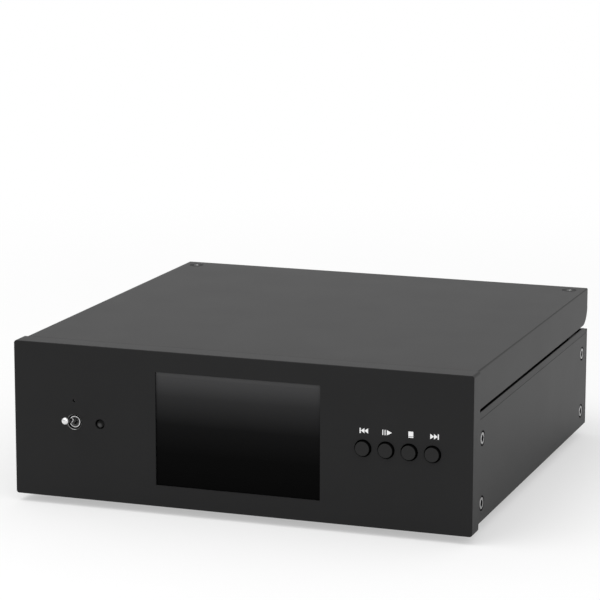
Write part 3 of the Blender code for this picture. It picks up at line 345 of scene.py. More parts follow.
class Finish:
    """A procedural material built round one shader. Its colours are red, green and blue."""

    def __init__(self, name):
        self.material = bpy.data.materials.new(name)
        self.material.use_nodes = True
        self.tree = self.material.node_tree
        self.shader = self.tree.nodes["Principled BSDF"]
        self.place = self.node("ShaderNodeTexCoord", output="Object")

    def node(self, kind, settings=None, inputs=None, output=0):
        """Adds a node: its settings first, then the values or links of its sockets."""
        made = self.tree.nodes.new(kind)
        for name, value in (settings or {}).items():
            if name == "stops":
                self.set_stops(made.color_ramp.elements, value)
            else:
                setattr(made, name, value)
        for name, value in (inputs or {}).items():
            self.feed(made.inputs[name], value)
        return Wire(self, made.outputs[output])

    def set_stops(self, elements, stops):
        while len(elements) < len(stops):
            elements.new(1.0)
        for element, (place, colour) in zip(elements, stops):
            element.position = place
            element.color = (*colour, 1.0)

    def feed(self, socket, value):
        if isinstance(value, Wire):
            self.tree.links.new(value.socket, socket)
        elif socket.type == "RGBA":
            socket.default_value = (*value, 1.0)
        else:
            socket.default_value = value

    def shade(self, **values):
        """Sets the shader's sockets by their names, with _ for a space."""
        for name, value in values.items():
            self.feed(self.shader.inputs[name.replace("_", " ")], value)
        return self.material

    def noise(self, size, detail=2.0, place=None):
        """Soft random grain with features of a size in millimetres."""
        inputs = {"Vector": place or self.place, "Scale": 1 / (size * MILLIMETRE), "Detail": detail}
        return self.node("ShaderNodeTexNoise", None, inputs)

    def stretched(self, x, y, z):
        """Object coordinates scaled along each axis."""
        return self.node("ShaderNodeMapping", None, {"Vector": self.place, "Scale": (x, y, z)})

    def along(self, axis):
        """The place along one axis, in millimetres."""
        return self.node("ShaderNodeSeparateXYZ", None, {0: self.place}, AXES.index(axis)) / MILLIMETRE

    def mix(self, share, first, second):
        """A colour between two colours."""
        return self.node("ShaderNodeMix", {"data_type": "RGBA"}, {0: share, 6: first, 7: second}, 2)

    def ramp(self, share, stops):
        return self.node("ShaderNodeValToRGB", {"stops": stops}, {0: share})

    def bump(self, height, depth, strength=0.3):
        """A normal from a height, with a depth in millimetres."""
        inputs = {"Strength": strength, "Distance": depth * MILLIMETRE, "Height": height}
        return self.node("ShaderNodeBump", None, inputs)


def grey(tone):
    return (tone, tone, tone)


def anodised():
    """Satin black anodised aluminium: a fine blasted grain with faint clouding."""
    finish = Finish("case_black")
    dark = (0.0115, 0.0115, 0.0117)
    light = (0.0168, 0.0168, 0.0171)
    grain = finish.noise(0.15)
    cloud = finish.noise(22.0, 3.0)
    return finish.shade(
        Base_Color=finish.mix(0.6 * grain + 0.4 * cloud, dark, light),
        Roughness=0.35 + 0.06 * grain + 0.04 * cloud,
        Specular_IOR_Level=0.118,
        Normal=finish.bump(grain, 0.02),
    )


def button_satin_and_painted_shade():
    """Satin black, with painted shade and a duller finish on each cap's side below its face."""
    finish = Finish("button_satin_and_painted_shade")
    face = corners("button_previous")[0].y
    grain = finish.noise(0.15)
    # painted shade: the cap's side behind its face is darker, as if in the shadow of the panel's hole
    below = finish.along("Y") - face > BUTTON_FACE_DEPTH
    return finish.shade(
        Base_Color=finish.mix(0.95 * below + 0.05 * grain, grey(0.024), grey(0.002)),
        Roughness=0.50 + 0.06 * grain + 0.4 * below,
        Specular_IOR_Level=0.03,
        Normal=finish.bump(grain, 0.02),
    )


def moulded(name, dark, light, roughness, texture):
    """Moulded plastic or rubber with a fine eroded texture."""
    finish = Finish(name)
    grain = finish.noise(texture, 3.0)
    cloud = finish.noise(12.0)
    return finish.shade(
        Base_Color=finish.mix(0.5 * grain + 0.5 * cloud, dark, light),
        Roughness=roughness - 0.06 + 0.12 * grain,
        Specular_IOR_Level=0.35,
        Normal=finish.bump(grain, 0.06),
    )


def deck_plastic():
    """Moulded black plastic: fine rings where a disc lies, and a dull rear edge."""
    finish = Finish("deck_plastic")
    hub = middle("turntable")
    grain = finish.noise(0.35, 3.0)
    cloud = finish.noise(12.0)
    across = finish.along("X") - hub.x
    deep = finish.along("Y") - hub.y
    radius = (across * across + deep * deep).root()
    turns = radius * (2 * math.pi / RING_PITCH)
    rings = (radius > RING_START) * (radius < RING_END) * turns.sine()
    dull = finish.along("Y") > corners("deck")[1].y - DULL_EDGE
    return finish.shade(
        Base_Color=finish.mix(0.5 * grain + 0.5 * cloud, grey(0.010), grey(0.018)),
        Roughness=0.46 + 0.10 * grain + 0.04 * rings + 0.4 * dull,
        Specular_IOR_Level=0.22,
        Normal=finish.bump(grain + 4.0 * rings, 0.05),
    )


def plated(name, dark, light, roughness, lines=(1.0, 1.0, 1.0)):
    """Bare or plated metal with faint tool lines."""
    finish = Finish(name)
    scratch = finish.noise(0.6, 3.0, finish.stretched(*lines))
    cloud = finish.noise(7.0)
    return finish.shade(
        Base_Color=finish.mix(0.5 * scratch + 0.5 * cloud, dark, light),
        Roughness=roughness - 0.04 + 0.08 * scratch + 0.02 * cloud,
        Metallic=1.0,
        Normal=finish.bump(scratch, 0.01, 0.15),
    )


def side_bolt_steel_and_painted_shade():
    """Bright steel with faint tool lines, with painted shade in the socket below the bolt's face."""
    finish = Finish("side_bolt_steel_and_painted_shade")
    face = corners("side_screw_right_front_low")[1].x
    scratch = finish.noise(0.6, 3.0)
    # painted shade: the steel is dark deeper than the face, inside the socket
    below = face - abs(finish.along("X")) > SCREW_FACE_DEPTH
    return finish.shade(
        Base_Color=finish.mix(0.95 * below + 0.05 * scratch, grey(0.37), grey(0.05)),
        Roughness=0.30 + 0.08 * scratch,
        Metallic=1.0,
        Normal=finish.bump(scratch, 0.01, 0.15),
    )


def lid_bolt_steel():
    """Blackened steel, worn bright round the socket."""
    finish = Finish("lid_bolt_steel")
    centre = middle("lid_screw_right")
    socket, lead = LID_BOLT[2:]
    scratch = finish.noise(0.6, 3.0)
    across = abs(finish.along("X")) - centre.x
    deep = finish.along("Y") - centre.y
    bright = across * across + deep * deep < (SCREW_SOCKET_ROOM * socket + lead) ** 2
    return finish.shade(
        Base_Color=finish.mix(bright, grey(0.010), grey(0.24)),
        Roughness=0.47 - 0.19 * bright + 0.08 * scratch,
        Metallic=bright,
        Specular_IOR_Level=0.118,
        Normal=finish.bump(scratch, 0.01, 0.15),
    )


def clear(name, tint, roughness, gloss):
    """Clear moulded plastic or glass with a trace of haze."""
    finish = Finish(name)
    haze = finish.noise(1.5)
    return finish.shade(
        Base_Color=finish.mix(haze, tint, [0.92 * part for part in tint]),
        Roughness=roughness + 0.05 * haze,
        Transmission_Weight=0.9,
        IOR=1.5,
        Specular_IOR_Level=gloss,
    )


def screen_glass():
    """The display's dark pane, with a painted reflection that lightens towards its upper edge."""
    finish = Finish("screen_glass")
    start, end = window_corners(CLOSE_FIT)
    height = (finish.along("Z") - start[1]) / (end[1] - start[1])
    painted_reflection = height + 0.02 * finish.noise(30.0)
    # painted reflection: dark low on the pane, lighter upwards and lightest at the window's upper edge
    stops = (
        (0.0, grey(0.0005)),
        (0.30, grey(0.0012)),
        (0.55, (0.0050, 0.0050, 0.0052)),
        (0.80, (0.0225, 0.0225, 0.0230)),
        (0.97, (0.050, 0.050, 0.051)),
        (1.0, (0.070, 0.070, 0.071)),
    )
    return finish.shade(
        Base_Color=finish.ramp(painted_reflection, stops),
        Roughness=0.08 + 0.03 * finish.noise(4.0),
        Specular_IOR_Level=0.03,
    )


def dark_lens():
    """Black plastic that lets infrared through, with a painted highlight low on its left."""
    finish = Finish("dark_lens")
    centre = middle("remote_lens")
    haze = finish.noise(1.2)
    # painted highlight: lighter in a round spot off the lens's centre, dark elsewhere
    across = (finish.along("X") - centre.x - PAINTED_HIGHLIGHT[0]) / PAINTED_HIGHLIGHT_RADIUS
    up = (finish.along("Z") - centre.z - PAINTED_HIGHLIGHT[1]) / PAINTED_HIGHLIGHT_RADIUS
    share = across * across + up * up + 0.1 * haze
    return finish.shade(
        Base_Color=finish.ramp(share, ((0.0, grey(0.062)), (1.0, grey(0.002)))),
        Roughness=0.10 + 0.06 * haze,
        Specular_IOR_Level=0.12,
    )


def circuit_board():
    """Green solder mask over copper tracks, with bare pads."""
    finish = Finish("circuit_board")
    bricks = {"Vector": finish.place, "Scale": 120.0, "Mortar Size": 0.03}
    coarse = finish.node("ShaderNodeTexBrick", {"offset": 0.35}, bricks, 1)
    speckle = finish.noise(0.8)
    pads = finish.node("ShaderNodeTexVoronoi", None, {"Vector": finish.place, "Scale": 260.0}) < 0.16
    track = finish.mix(coarse, (0.012, 0.075, 0.035), (0.020, 0.125, 0.055))
    return finish.shade(
        Base_Color=finish.mix(pads, track, (0.62, 0.56, 0.42)),
        Roughness=0.5 - 0.2 * pads + 0.08 * speckle,
        Metallic=0.8 * pads,
        Normal=finish.bump(coarse, 0.03),
    )


def floor_finish():
    """White paper that reads as white to the camera and to reflections, and still takes a soft shadow."""
    finish = Finish("paper")
    tooth = finish.noise(60.0)
    finish.shade(
        Base_Color=finish.mix(tooth, grey(0.90), grey(0.92)),
        Roughness=0.9,
        Specular_IOR_Level=0.0,
    )
    glow = finish.node("ShaderNodeEmission", None, {"Color": grey(1.0), "Strength": 1.0})
    direct = finish.node("ShaderNodeLightPath", output="Is Camera Ray")
    glossy = finish.node("ShaderNodeLightPath", output="Is Glossy Ray")
    passed = finish.node("ShaderNodeLightPath", output="Is Transmission Ray")
    distance = finish.node("ShaderNodeVectorMath", {"operation": "LENGTH"}, {0: finish.place}, "Value")
    far = finish.node("ShaderNodeMapRange", {"interpolation_type": "SMOOTHSTEP"}, {
        "Value": distance / MILLIMETRE,
        "From Min": FLOOR_NEAR,
        "From Max": FLOOR_FAR,
    })
    seen = FLOOR_GLOW + (1.0 - FLOOR_GLOW) * far
    mixed = finish.node("ShaderNodeMixShader", None, {
        0: seen * (direct + passed) + far * glossy,
        1: Wire(finish, finish.shader.outputs[0]),
        2: glow,
    })
    finish.feed(finish.tree.nodes["Material Output"].inputs["Surface"], mixed)
    return finish.material


def corners(node):
    """A solid's lowest and highest corners, in millimetres."""
    return [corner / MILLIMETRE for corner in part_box(node)]


def middle(node):
    low, high = corners(node)
    return (low + high) / 2


def radius_of(node):
    low, high = corners(node)
    return (high.x - low.x) / 2


def axis_of(node, axis):
    """The two coordinates of the line along an axis through a solid's middle."""
    return [part for name, part in zip(AXES, middle(node)) if name != axis]


def joint_place(name):
    joint = next(joint for joint in frame["joints"] if joint["name"] == name)
    return Vector(joint["pos_m"]) / MILLIMETRE


def body_of(node):
    bodies = frame["record"]["behaviour"]["bodies"]
    return next(name for name, members in bodies.items() if node in members)


def by_side(*parts):
    return [part + side for part in parts for side in SIDE_NAMES.values()]


def wall_screws(side):
    """What the names of a side wall's four screws end with."""
    return [f"{side}_{end}_{level}" for end in END_NAMES for level in LEVEL_NAMES]


def window_corners(gap):
    """The window's lower left and upper right corners in x and z, less a gap all round."""
    low, high = corners("display_glass")
    reach = FIT - gap
    return (low.x - WINDOW_LEFT - reach, low.z - reach), (high.x + reach, high.z + WINDOW_TOP + reach)


# Places along y, from the frame
PANEL_FACE = corners("front_panel")[0].y
PANEL_SEAT = corners("front_panel")[1].y + FIT  # of what is held behind the panel
BUSHING_MOUTH = PANEL_FACE + BUSHING_SINK
PLATE_FRONT = corners("rear_panel")[1].y - SHEET  # where the tray's walls end
SOCKET_SEAT = corners("rear_panel")[1].y + FIT  # of the sockets' flanges


def spot(axis, across, along):
    """A point from its place along one axis and its two other coordinates, in their own order."""
    place = list(across)
    place.insert(AXES.index(axis), along)
    return Vector(place)


def edges_of(verts):
    return list(dict.fromkeys(edge for vert in verts for edge in vert.link_edges))


def verts_among(items):
    return [item for item in items if isinstance(item, bmesh.types.BMVert)]


def bevelled(shape, items, width, steps, affect):
    bmesh.ops.bevel(
        shape,
        geom=items,
        offset=width,
        offset_type="OFFSET",
        segments=steps,
        profile=0.5,
        affect=affect,
        material=-1,
        loop_slide=False,
    )


def round_rim(shape, axis, across, along, radius, sides=SIDES):
    """A ring of edges, square to an axis."""
    place = Matrix.Translation(spot(axis, across, along)) @ TURNS[axis]
    made = bmesh.ops.create_circle(shape, segments=sides, radius=radius, matrix=place)
    return edges_of(made["verts"])


def ring_about(shape, node, axis, along, radius, sides=SIDES):
    """A ring of edges about an axis through a solid's middle."""
    return round_rim(shape, axis, axis_of(node, axis), along, radius, sides)


def square_rim(shape, axis, low, high, along, corner=0.0, steps=6):
    """A rectangle of edges, square to an axis, with round corners where a radius is given."""
    edges_before = set(shape.edges)
    faces_before = set(shape.faces)
    centre = [(start + end) / 2 for start, end in zip(low, high)]
    stretch = Matrix.Diagonal((high[0] - low[0], high[1] - low[1], 1, 1))
    place = Matrix.Translation(spot(axis, centre, along)) @ TURNS[axis] @ stretch
    made = bmesh.ops.create_grid(shape, x_segments=1, y_segments=1, size=0.5, matrix=place)
    if corner:
        bevelled(shape, made["verts"], corner, steps, "VERTICES")
    faces = [face for face in shape.faces if face not in faces_before]
    bmesh.ops.delete(shape, geom=faces, context="FACES_ONLY")
    return [edge for edge in shape.edges if edge not in edges_before]


def oblong_about(shape, node, along, half_width, half_height, corner=0.0):
    """A rectangle of edges about a solid's middle, square to y."""
    x, z = axis_of(node, "Y")
    low = (x - half_width, z - half_height)
    high = (x + half_width, z + half_height)
    return square_rim(shape, "Y", low, high, along, corner)


def outline_of(shape, node, along, margin=0.0, corner=0.0):
    """A rectangle of edges round a solid, square to y."""
    low, high = corners(node)
    start = (low.x - margin, low.z - margin)
    end = (high.x + margin, high.z + margin)
    return square_rim(shape, "Y", start, end, along, corner)


def sunk(shape, rim, axis, depth):
    """Carries a rim along an axis, leaving a wall behind it, and gives its new edges."""
    verts = verts_among(bmesh.ops.extrude_edge_only(shape, edges=rim)["geom"])
    bmesh.ops.translate(shape, verts=verts, vec=spot(axis, (0, 0), depth))
    moved = set(verts)
    return [edge for edge in edges_of(verts) if set(edge.verts) <= moved]


def filled(shape, *rims):
    """Fills the flat region between rims."""
    edges = [edge for rim in rims for edge in rim]
    bmesh.ops.triangle_fill(shape, use_beauty=True, use_dissolve=False, edges=edges)


def block(shape, corner, opposite):
    """A box between two opposite corners."""
    low = Vector(map(min, corner, opposite))
    high = Vector(map(max, corner, opposite))
    place = Matrix.Translation((low + high) / 2) @ Matrix.Diagonal((*(high - low), 1))
    bmesh.ops.create_cube(shape, size=1, matrix=place)


def arc(centre, radius, rise, start, end, steps=ARC_STEPS):
    """Points of a profile along an arc, from one angle to another, about a place on the axis."""
    angles = [start + (end - start) * step / steps for step in range(steps + 1)]
    return [(radius * math.cos(angle), centre + rise * math.sin(angle)) for angle in angles]


def turned(shape, axis, across, profile, sides=SIDES):
    """A profile of (radius, place along the axis) points, turned about an axis."""
    before = set(shape.verts)
    points = [shape.verts.new(spot(axis, (radius, 0), along)) for radius, along in profile]
    edges = [shape.edges.new(pair) for pair in zip(points, points[1:])]
    bmesh.ops.spin(
        shape,
        geom=points + edges,
        cent=(0, 0, 0),
        axis=spot(axis, (0, 0), 1),
        angle=2 * math.pi,
        steps=sides,
        use_merge=True,
    )
    fresh = [vert for vert in shape.verts if vert not in before]
    bmesh.ops.remove_doubles(shape, verts=fresh, dist=WELD)
    fresh = [vert for vert in shape.verts if vert not in before]
    bmesh.ops.translate(shape, verts=fresh, vec=spot(axis, across, 0))


def turned_about(node, axis, profile, sides=SIDES):
    """A new shape: a profile turned about an axis through a solid's middle."""
    shape = bmesh.new()
    turned(shape, axis, axis_of(node, axis), profile, sides)
    return shape


def sharp_edges(shape):
    return [edge for edge in shape.edges if edge.is_manifold and edge.calc_face_angle() > SHARP_EDGE]


def eased(shape, width, edges=None, steps=3):
    """Rounds some edges of a shape, or all its sharp ones."""
    bmesh.ops.recalc_face_normals(shape, faces=shape.faces)
    if edges is None:
        edges = sharp_edges(shape)
    bevelled(shape, edges, width, steps, "EDGES")


def slanted(shape, place, outwards):
    """Cuts off all that lies beyond a plane, and closes the cut."""
    geom = shape.verts[:] + shape.edges[:] + shape.faces[:]
    made = bmesh.ops.bisect_plane(shape, geom=geom, plane_co=place, plane_no=outwards, clear_outer=True)
    filled(shape, [item for item in made["geom_cut"] if isinstance(item, bmesh.types.BMEdge)])


def thickened(shape):
    """Gives an open sheet its thickness inwards."""
    bmesh.ops.recalc_face_normals(shape, faces=shape.faces)
    bmesh.ops.solidify(shape, geom=shape.faces[:], thickness=SHEET)


def copied(node):
    """The merged mesh of a solid."""
    shape = bmesh.new()
    shape.from_mesh(frame["nodes"][node].data)
    bmesh.ops.scale(shape, verts=shape.verts, vec=Vector((1, 1, 1)) / MILLIMETRE)
    bmesh.ops.remove_doubles(shape, verts=shape.verts, dist=WELD)
    bmesh.ops.dissolve_limit(shape, angle_limit=FLAT, verts=shape.verts, edges=shape.edges)
    return shape


def placed(name, shape, finish, slot, body, *nodes):
    """Makes a shape a piece with its finish, on the body that carries it, in place of solids."""
    bmesh.ops.recalc_face_normals(shape, faces=shape.faces)
    bmesh.ops.scale(shape, verts=shape.verts, vec=Vector((1, 1, 1)) * MILLIMETRE)
    mesh = bpy.data.meshes.new(name)
    shape.to_mesh(mesh)
    shape.free()
    mesh.materials.append(finish)
    mesh.shade_smooth()
    mesh.set_sharp_from_angle(angle=SMOOTH_EDGE)
    item = bpy.data.objects.new(name, mesh)
    bpy.context.collection.objects.link(item)
    shading = item.modifiers.new("even_shading", "WEIGHTED_NORMAL")
    shading.keep_sharp = True
    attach(item, body)
    if nodes:
        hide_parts(*nodes)


def soft_piece(name, node, finish, slot, width):
    """A solid whose shape is right, with its sharp edges rounded."""
    shape = copied(node)
    eased(shape, width)
    placed(name, shape, finish, slot, body_of(node), node)


def soft_pieces(finish, slot, width, *nodes):
    for node in nodes:
        soft_piece("fine_" + node, node, finish, slot, width)


def panel_face(finish):
    """A slab with a window, round holes, and the pockets behind them."""
    thickness = corners("front_panel")[1].y - PANEL_FACE
    ledge = corners("display_glass")[1].y - PANEL_FACE
    shape = bmesh.new()
    outer = outline_of(shape, "front_panel", PANEL_FACE, 0.0, PANEL_CORNER)
    window = square_rim(shape, "Y", *window_corners(0.0), PANEL_FACE, WINDOW_CORNER)
    holes = [ring_about(shape, "button_" + name, "Y", PANEL_FACE, BUTTON_HOLE) for name in BUTTON_NAMES]
    toggle = ring_about(shape, "toggle_switch", "Y", PANEL_FACE, TOGGLE_HOLE)
    lens = ring_about(shape, "remote_lens", "Y", PANEL_FACE, LENS_HOLE)
    light = ring_about(shape, "power_light", "Y", PANEL_FACE, LIGHT_HOLE, FEW_SIDES)
    filled(shape, outer, window, *holes, toggle, lens, light)

    window_seat = sunk(shape, window, "Y", ledge)
    module_pocket = outline_of(shape, "display_module", PANEL_FACE + ledge, FIT)
    filled(shape, window_seat, module_pocket)
    button_seats = [sunk(shape, rim, "Y", BUTTON_LIP) for rim in holes]
    button_pocket = outline_of(shape, "button_board", PANEL_FACE + BUTTON_LIP, FIT)
    filled(shape, *button_seats, button_pocket)
    light_seat = sunk(shape, light, "Y", LIGHT_LIP)
    light_well = ring_about(shape, "power_light", "Y", PANEL_FACE + LIGHT_LIP, LIGHT_WELL, FEW_SIDES)
    filled(shape, light_seat, light_well)

    depths = (
        (outer, 0.0),
        (module_pocket, ledge),
        (button_pocket, BUTTON_LIP),
        (light_well, LIGHT_LIP),
        (toggle, 0.0),
        (lens, 0.0),
    )
    back_rims = [sunk(shape, rim, "Y", thickness - depth) for rim, depth in depths]
    filled(shape, *back_rims)
    eased(shape, PANEL_EDGE, outer + back_rims[0])
    eased(shape, HOLE_EDGE, [edge for rim in (*holes, toggle, lens, light) for edge in rim])
    eased(shape, WINDOW_EDGE, window)
    placed("panel_face", shape, finish, "black_anodised", "case", "front_panel")


def display_pane(glass):
    low, high = corners("display_glass")
    shape = bmesh.new()
    pane = square_rim(shape, "Y", *window_corners(CLOSE_FIT), low.y, WINDOW_CORNER - CLOSE_FIT)
    filled(shape, pane)
    filled(shape, sunk(shape, pane, "Y", high.y - low.y - CLOSE_FIT))
    eased(shape, CLOSE_FIT)
    placed("display_pane", shape, glass, "dark_glass", "case", "display_glass")


def buttons(finish):
    """Caps with a dished face, each on a flange behind the panel's lip."""
    seat = PANEL_FACE + BUTTON_LIP + FIT
    for name in BUTTON_NAMES:
        node = "button_" + name
        low, high = corners(node)
        flange = radius_of(node)
        profile = [
            (0, low.y + BUTTON_DISH),
            (BUTTON_CAP * 0.5, low.y + BUTTON_DISH * 0.7),
            (BUTTON_CAP - 0.5, low.y),
            (BUTTON_CAP - 0.3, low.y),
            (BUTTON_CAP - 0.09, low.y + 0.09),
            (BUTTON_CAP, low.y + 0.3),
            (BUTTON_CAP, seat),
            (flange, seat),
            (flange, seat + BUTTON_FLANGE),
            (BUTTON_STEM, seat + BUTTON_FLANGE),
            (BUTTON_STEM, high.y),
            (0, high.y),
        ]
        shape = turned_about(node, "Y", profile)
        placed(name + "_cap", shape, finish, "black_plastic", name + "_button", node)


def toggle_bushing(chrome):
    """A threaded tube, with a bore for the lever."""
    floor = BUSHING_MOUTH + BUSHING_BORE_DEPTH
    back = PANEL_SEAT + BUSHING_BACK
    pitch = (PANEL_SEAT - BUSHING_MOUTH - THREAD_START - THREAD_END) / THREAD_TURNS
    profile = [
        (0, floor),
        (BUSHING_BORE, floor),
        (BUSHING_BORE, BUSHING_MOUTH + 0.2),
        (BUSHING_BORE + 0.05, BUSHING_MOUTH + 0.05),
        (BUSHING_BORE + 0.15, BUSHING_MOUTH),
        (BUSHING_RADIUS - 0.15, BUSHING_MOUTH),
        (BUSHING_RADIUS - 0.05, BUSHING_MOUTH + 0.05),
        (BUSHING_RADIUS, BUSHING_MOUTH + 0.2),
    ]
    for turn in range(THREAD_TURNS):
        start = BUSHING_MOUTH + THREAD_START + turn * pitch
        profile += [(BUSHING_RADIUS, start), (BUSHING_RADIUS - THREAD_DEPTH, start + pitch / 2)]
    profile += [(BUSHING_RADIUS, PANEL_SEAT), (BUSHING_RADIUS, back), (0, back)]
    shape = turned_about("toggle_switch", "Y", profile)
    placed("toggle_bushing", shape, chrome, "chrome", "case", "toggle_switch")


def toggle_body(plastic):
    low, high = corners("toggle_switch")
    front = PANEL_SEAT + BUSHING_BACK + TOGGLE_BODY_GAP
    shape = bmesh.new()
    block(shape, (low.x, front, low.z), high)
    eased(shape, TOGGLE_BODY_EDGE)
    placed("toggle_body", shape, plastic, "black_plastic", "case")


def toggle_seal(rubber):
    """A ring in the bushing's bore, round the lever's neck."""
    inner = LEVER_NECK + SEAL_GAP
    outer = BUSHING_BORE - SEAL_PLAY
    back = BUSHING_MOUTH + SEAL_BACK
    profile = [
        (inner, back),
        (inner, BUSHING_MOUTH + 0.6),
        (inner + 0.2, BUSHING_MOUTH + 0.45),
        (outer, BUSHING_MOUTH + 0.35),
        (outer, back),
        (inner, back),
    ]
    placed("toggle_seal", turned_about("toggle_switch", "Y", profile), rubber, "black_rubber", "case")


def toggle_rim(steel):
    """A thin ring just inside the panel's hole."""
    outer = TOGGLE_HOLE - CLOSE_FIT
    inner = outer - TOGGLE_RIM_WALL
    back = PANEL_FACE + TOGGLE_RIM_BACK
    profile = [
        (outer, PANEL_FACE + 0.08),
        (inner, PANEL_FACE + 0.26),
        (inner, back),
        (outer, back),
        (outer, PANEL_FACE + 0.08),
    ]
    placed("toggle_rim", turned_about("toggle_switch", "Y", profile), steel, "bright_steel", "case")


def toggle_bat(chrome):
    """A ball, a slim neck that widens, and a round tip, tilted about the ball's middle."""
    neck_turn = math.acos(LEVER_NECK / LEVER_BALL)
    profile = [
        *arc(0, LEVER_BALL, LEVER_BALL, math.pi / 2, -neck_turn, LEVER_STEPS),
        (LEVER_NECK + 0.08, -0.45 * LEVER_LENGTH),
        *arc(-LEVER_LENGTH, LEVER_TIP, LEVER_TIP, LEVER_TIP_START, -math.pi / 2, LEVER_STEPS),
    ]
    shape = bmesh.new()
    turned(shape, "Y", (0, 0), profile)
    tilt = Matrix.Translation(joint_place("toggle_tilt")) @ Matrix.Rotation(-LEVER_TILT, 4, "X")
    bmesh.ops.transform(shape, matrix=tilt, verts=shape.verts)
    placed("toggle_bat", shape, chrome, "chrome", "toggle", "toggle_lever")


def light_pipe(finish):
    """A light pipe whose end lies back in a pinhole."""
    back = corners("power_light")[1].y
    flange = radius_of("power_light")
    front = PANEL_FACE + LIGHT_DEPTH
    shoulder = PANEL_FACE + LIGHT_LIP + FIT
    pipe = LIGHT_HOLE - CLOSE_FIT
    well = LIGHT_WELL - FIT
    profile = [
        (0, front),
        (pipe * 0.7, front + 0.03),
        (pipe, front + 0.12),
        (pipe, shoulder),
        (well, shoulder),
        (well, PANEL_SEAT),
        (flange, PANEL_SEAT),
        (flange, back),
        (0, back),
    ]
    shape = turned_about("power_light", "Y", profile, FEW_SIDES)
    placed("light_pipe", shape, finish, "clear_plastic", "case", "power_light")


def remote_window(finish):
    low, high = corners("remote_lens")
    radius = LENS_HOLE - FIT
    flange = radius_of("remote_lens")
    profile = [
        *arc(low.y + LENS_RISE, radius, LENS_RISE, -math.pi / 2, 0),
        (radius, PANEL_SEAT),
        (flange, PANEL_SEAT),
        (flange, high.y),
        (0, high.y),
    ]
    shape = turned_about("remote_lens", "Y", profile)
    placed("remote_window", shape, finish, "dark_glass", "case", "remote_lens")


def arrow(shape, start, end, height):
    """A flat triangle that points from one x to another, raised from the panel's face."""
    base = shape.verts.new((start, PANEL_FACE, height - SIGN_HEIGHT / 2))
    tip = shape.verts.new((end, PANEL_FACE, height))
    top = shape.verts.new((start, PANEL_FACE, height + SIGN_HEIGHT / 2))
    grown = bmesh.ops.extrude_face_region(shape, geom=[shape.faces.new((base, tip, top))])["geom"]
    bmesh.ops.translate(shape, verts=verts_among(grown), vec=(0, -SIGN_PRINT, 0))


def bar(shape, start, width, height, tall=SIGN_HEIGHT):
    """A flat bar about a height, raised from the panel's face."""
    lower = (start, PANEL_FACE - SIGN_PRINT, height - tall / 2)
    block(shape, lower, (start + width, PANEL_FACE, height + tall / 2))


def stop_sign(shape, centre, height):
    """A square over a line."""
    width, tall = SIGN_STOP
    start = centre - width / 2
    top = height + (tall + SIGN_STOP_GAP + SIGN_STOP_LINE) / 2
    bar(shape, start, width, top - tall / 2, tall)
    bar(shape, start, width, top - tall - SIGN_STOP_GAP - SIGN_STOP_LINE / 2, SIGN_STOP_LINE)


def play_sign(shape, centre, height):
    """Two bars before an arrow."""
    start = centre - SIGN_PLAY_WIDTH / 2
    end = start + SIGN_PLAY_WIDTH
    arrow(shape, end - SIGN_PLAY, end, height)
    for step in (0, SIGN_PAUSE_STEP):
        bar(shape, start + step, SIGN_PAUSE, height)


def skip_sign(shape, centre, height, way):
    """Two arrows that point one way to a bar."""
    start = centre - way * (SIGN_ARROW + SIGN_BAR / 2)
    for order in range(2):
        foot = start + way * order * SIGN_ARROW
        arrow(shape, foot, foot + way * SIGN_ARROW, height)
    bar(shape, start + way * 2 * SIGN_ARROW, way * SIGN_BAR, height)


def signs(finish):
    for name in BUTTON_NAMES:
        place = middle("button_" + name)
        centre = place.x + SIGN_SHIFTS[name]
        height = place.z + SIGN_RISE
        shape = bmesh.new()
        if name == "stop":
            stop_sign(shape, centre, height)
        elif name == "play_pause":
            play_sign(shape, centre, height)
        else:
            skip_sign(shape, centre, height, 1 if name == "next" else -1)
        placed(name + "_sign", shape, finish, "white_plastic", "case")


def screw(name, sizes, length, place, facing, finish, body, *nodes):
    """A countersunk screw with a hexagon socket, whose head's face is at a place and faces a way."""
    head, flat, socket_radius, lead = sizes
    room = SCREW_SOCKET_ROOM * socket_radius
    profile = [
        (room, -lead),
        (room + lead, 0),
        (flat, 0),
        (flat + 0.08, -0.04),
        (head, -SCREW_RIM),
        (SCREW_SHANK, -SCREW_CONE),
        (SCREW_SHANK, SCREW_POINT - length),
        (SCREW_SHANK - SCREW_POINT, -length),
        (0, -length),
    ]
    shape = bmesh.new()
    turned(shape, "Z", (0, 0), profile)
    rim = [edge for edge in shape.edges if edge.is_boundary]
    socket = round_rim(shape, "Z", (0, 0), -lead, socket_radius, HEXAGON)
    filled(shape, rim, socket)
    filled(shape, sunk(shape, socket, "Z", lead - SCREW_SOCKET_DEPTH))
    bmesh.ops.transform(shape, matrix=Matrix.Translation(place) @ FACINGS[facing], verts=shape.verts)
    placed(name, shape, finish, "bright_steel", body, *nodes)


def screws(lid_steel, side_steel):
    """The screws that show: two in the lid and four in each side wall."""
    for side, side_name in SIDE_NAMES.items():
        node = "lid_screw_" + side_name
        low, high = corners(node)
        place = middle(node)
        place.z = high.z
        length = high.z - low.z
        screw("lid_bolt_" + side_name, LID_BOLT, length, place, "up", lid_steel, "lid", node)
        for name in wall_screws(side_name):
            node = "side_screw_" + name
            low, high = corners(node)
            place = middle(node)
            place.x = high.x if side > 0 else low.x
            length = high.x - low.x
            screw("side_bolt_" + name, SIDE_BOLT, length, place, side_name, side_steel, "case", node)


def small_screw(name, place, facing, finish):
    screw(name, SMALL_BOLT, SMALL_BOLT_LENGTH, place, facing, finish, "case")


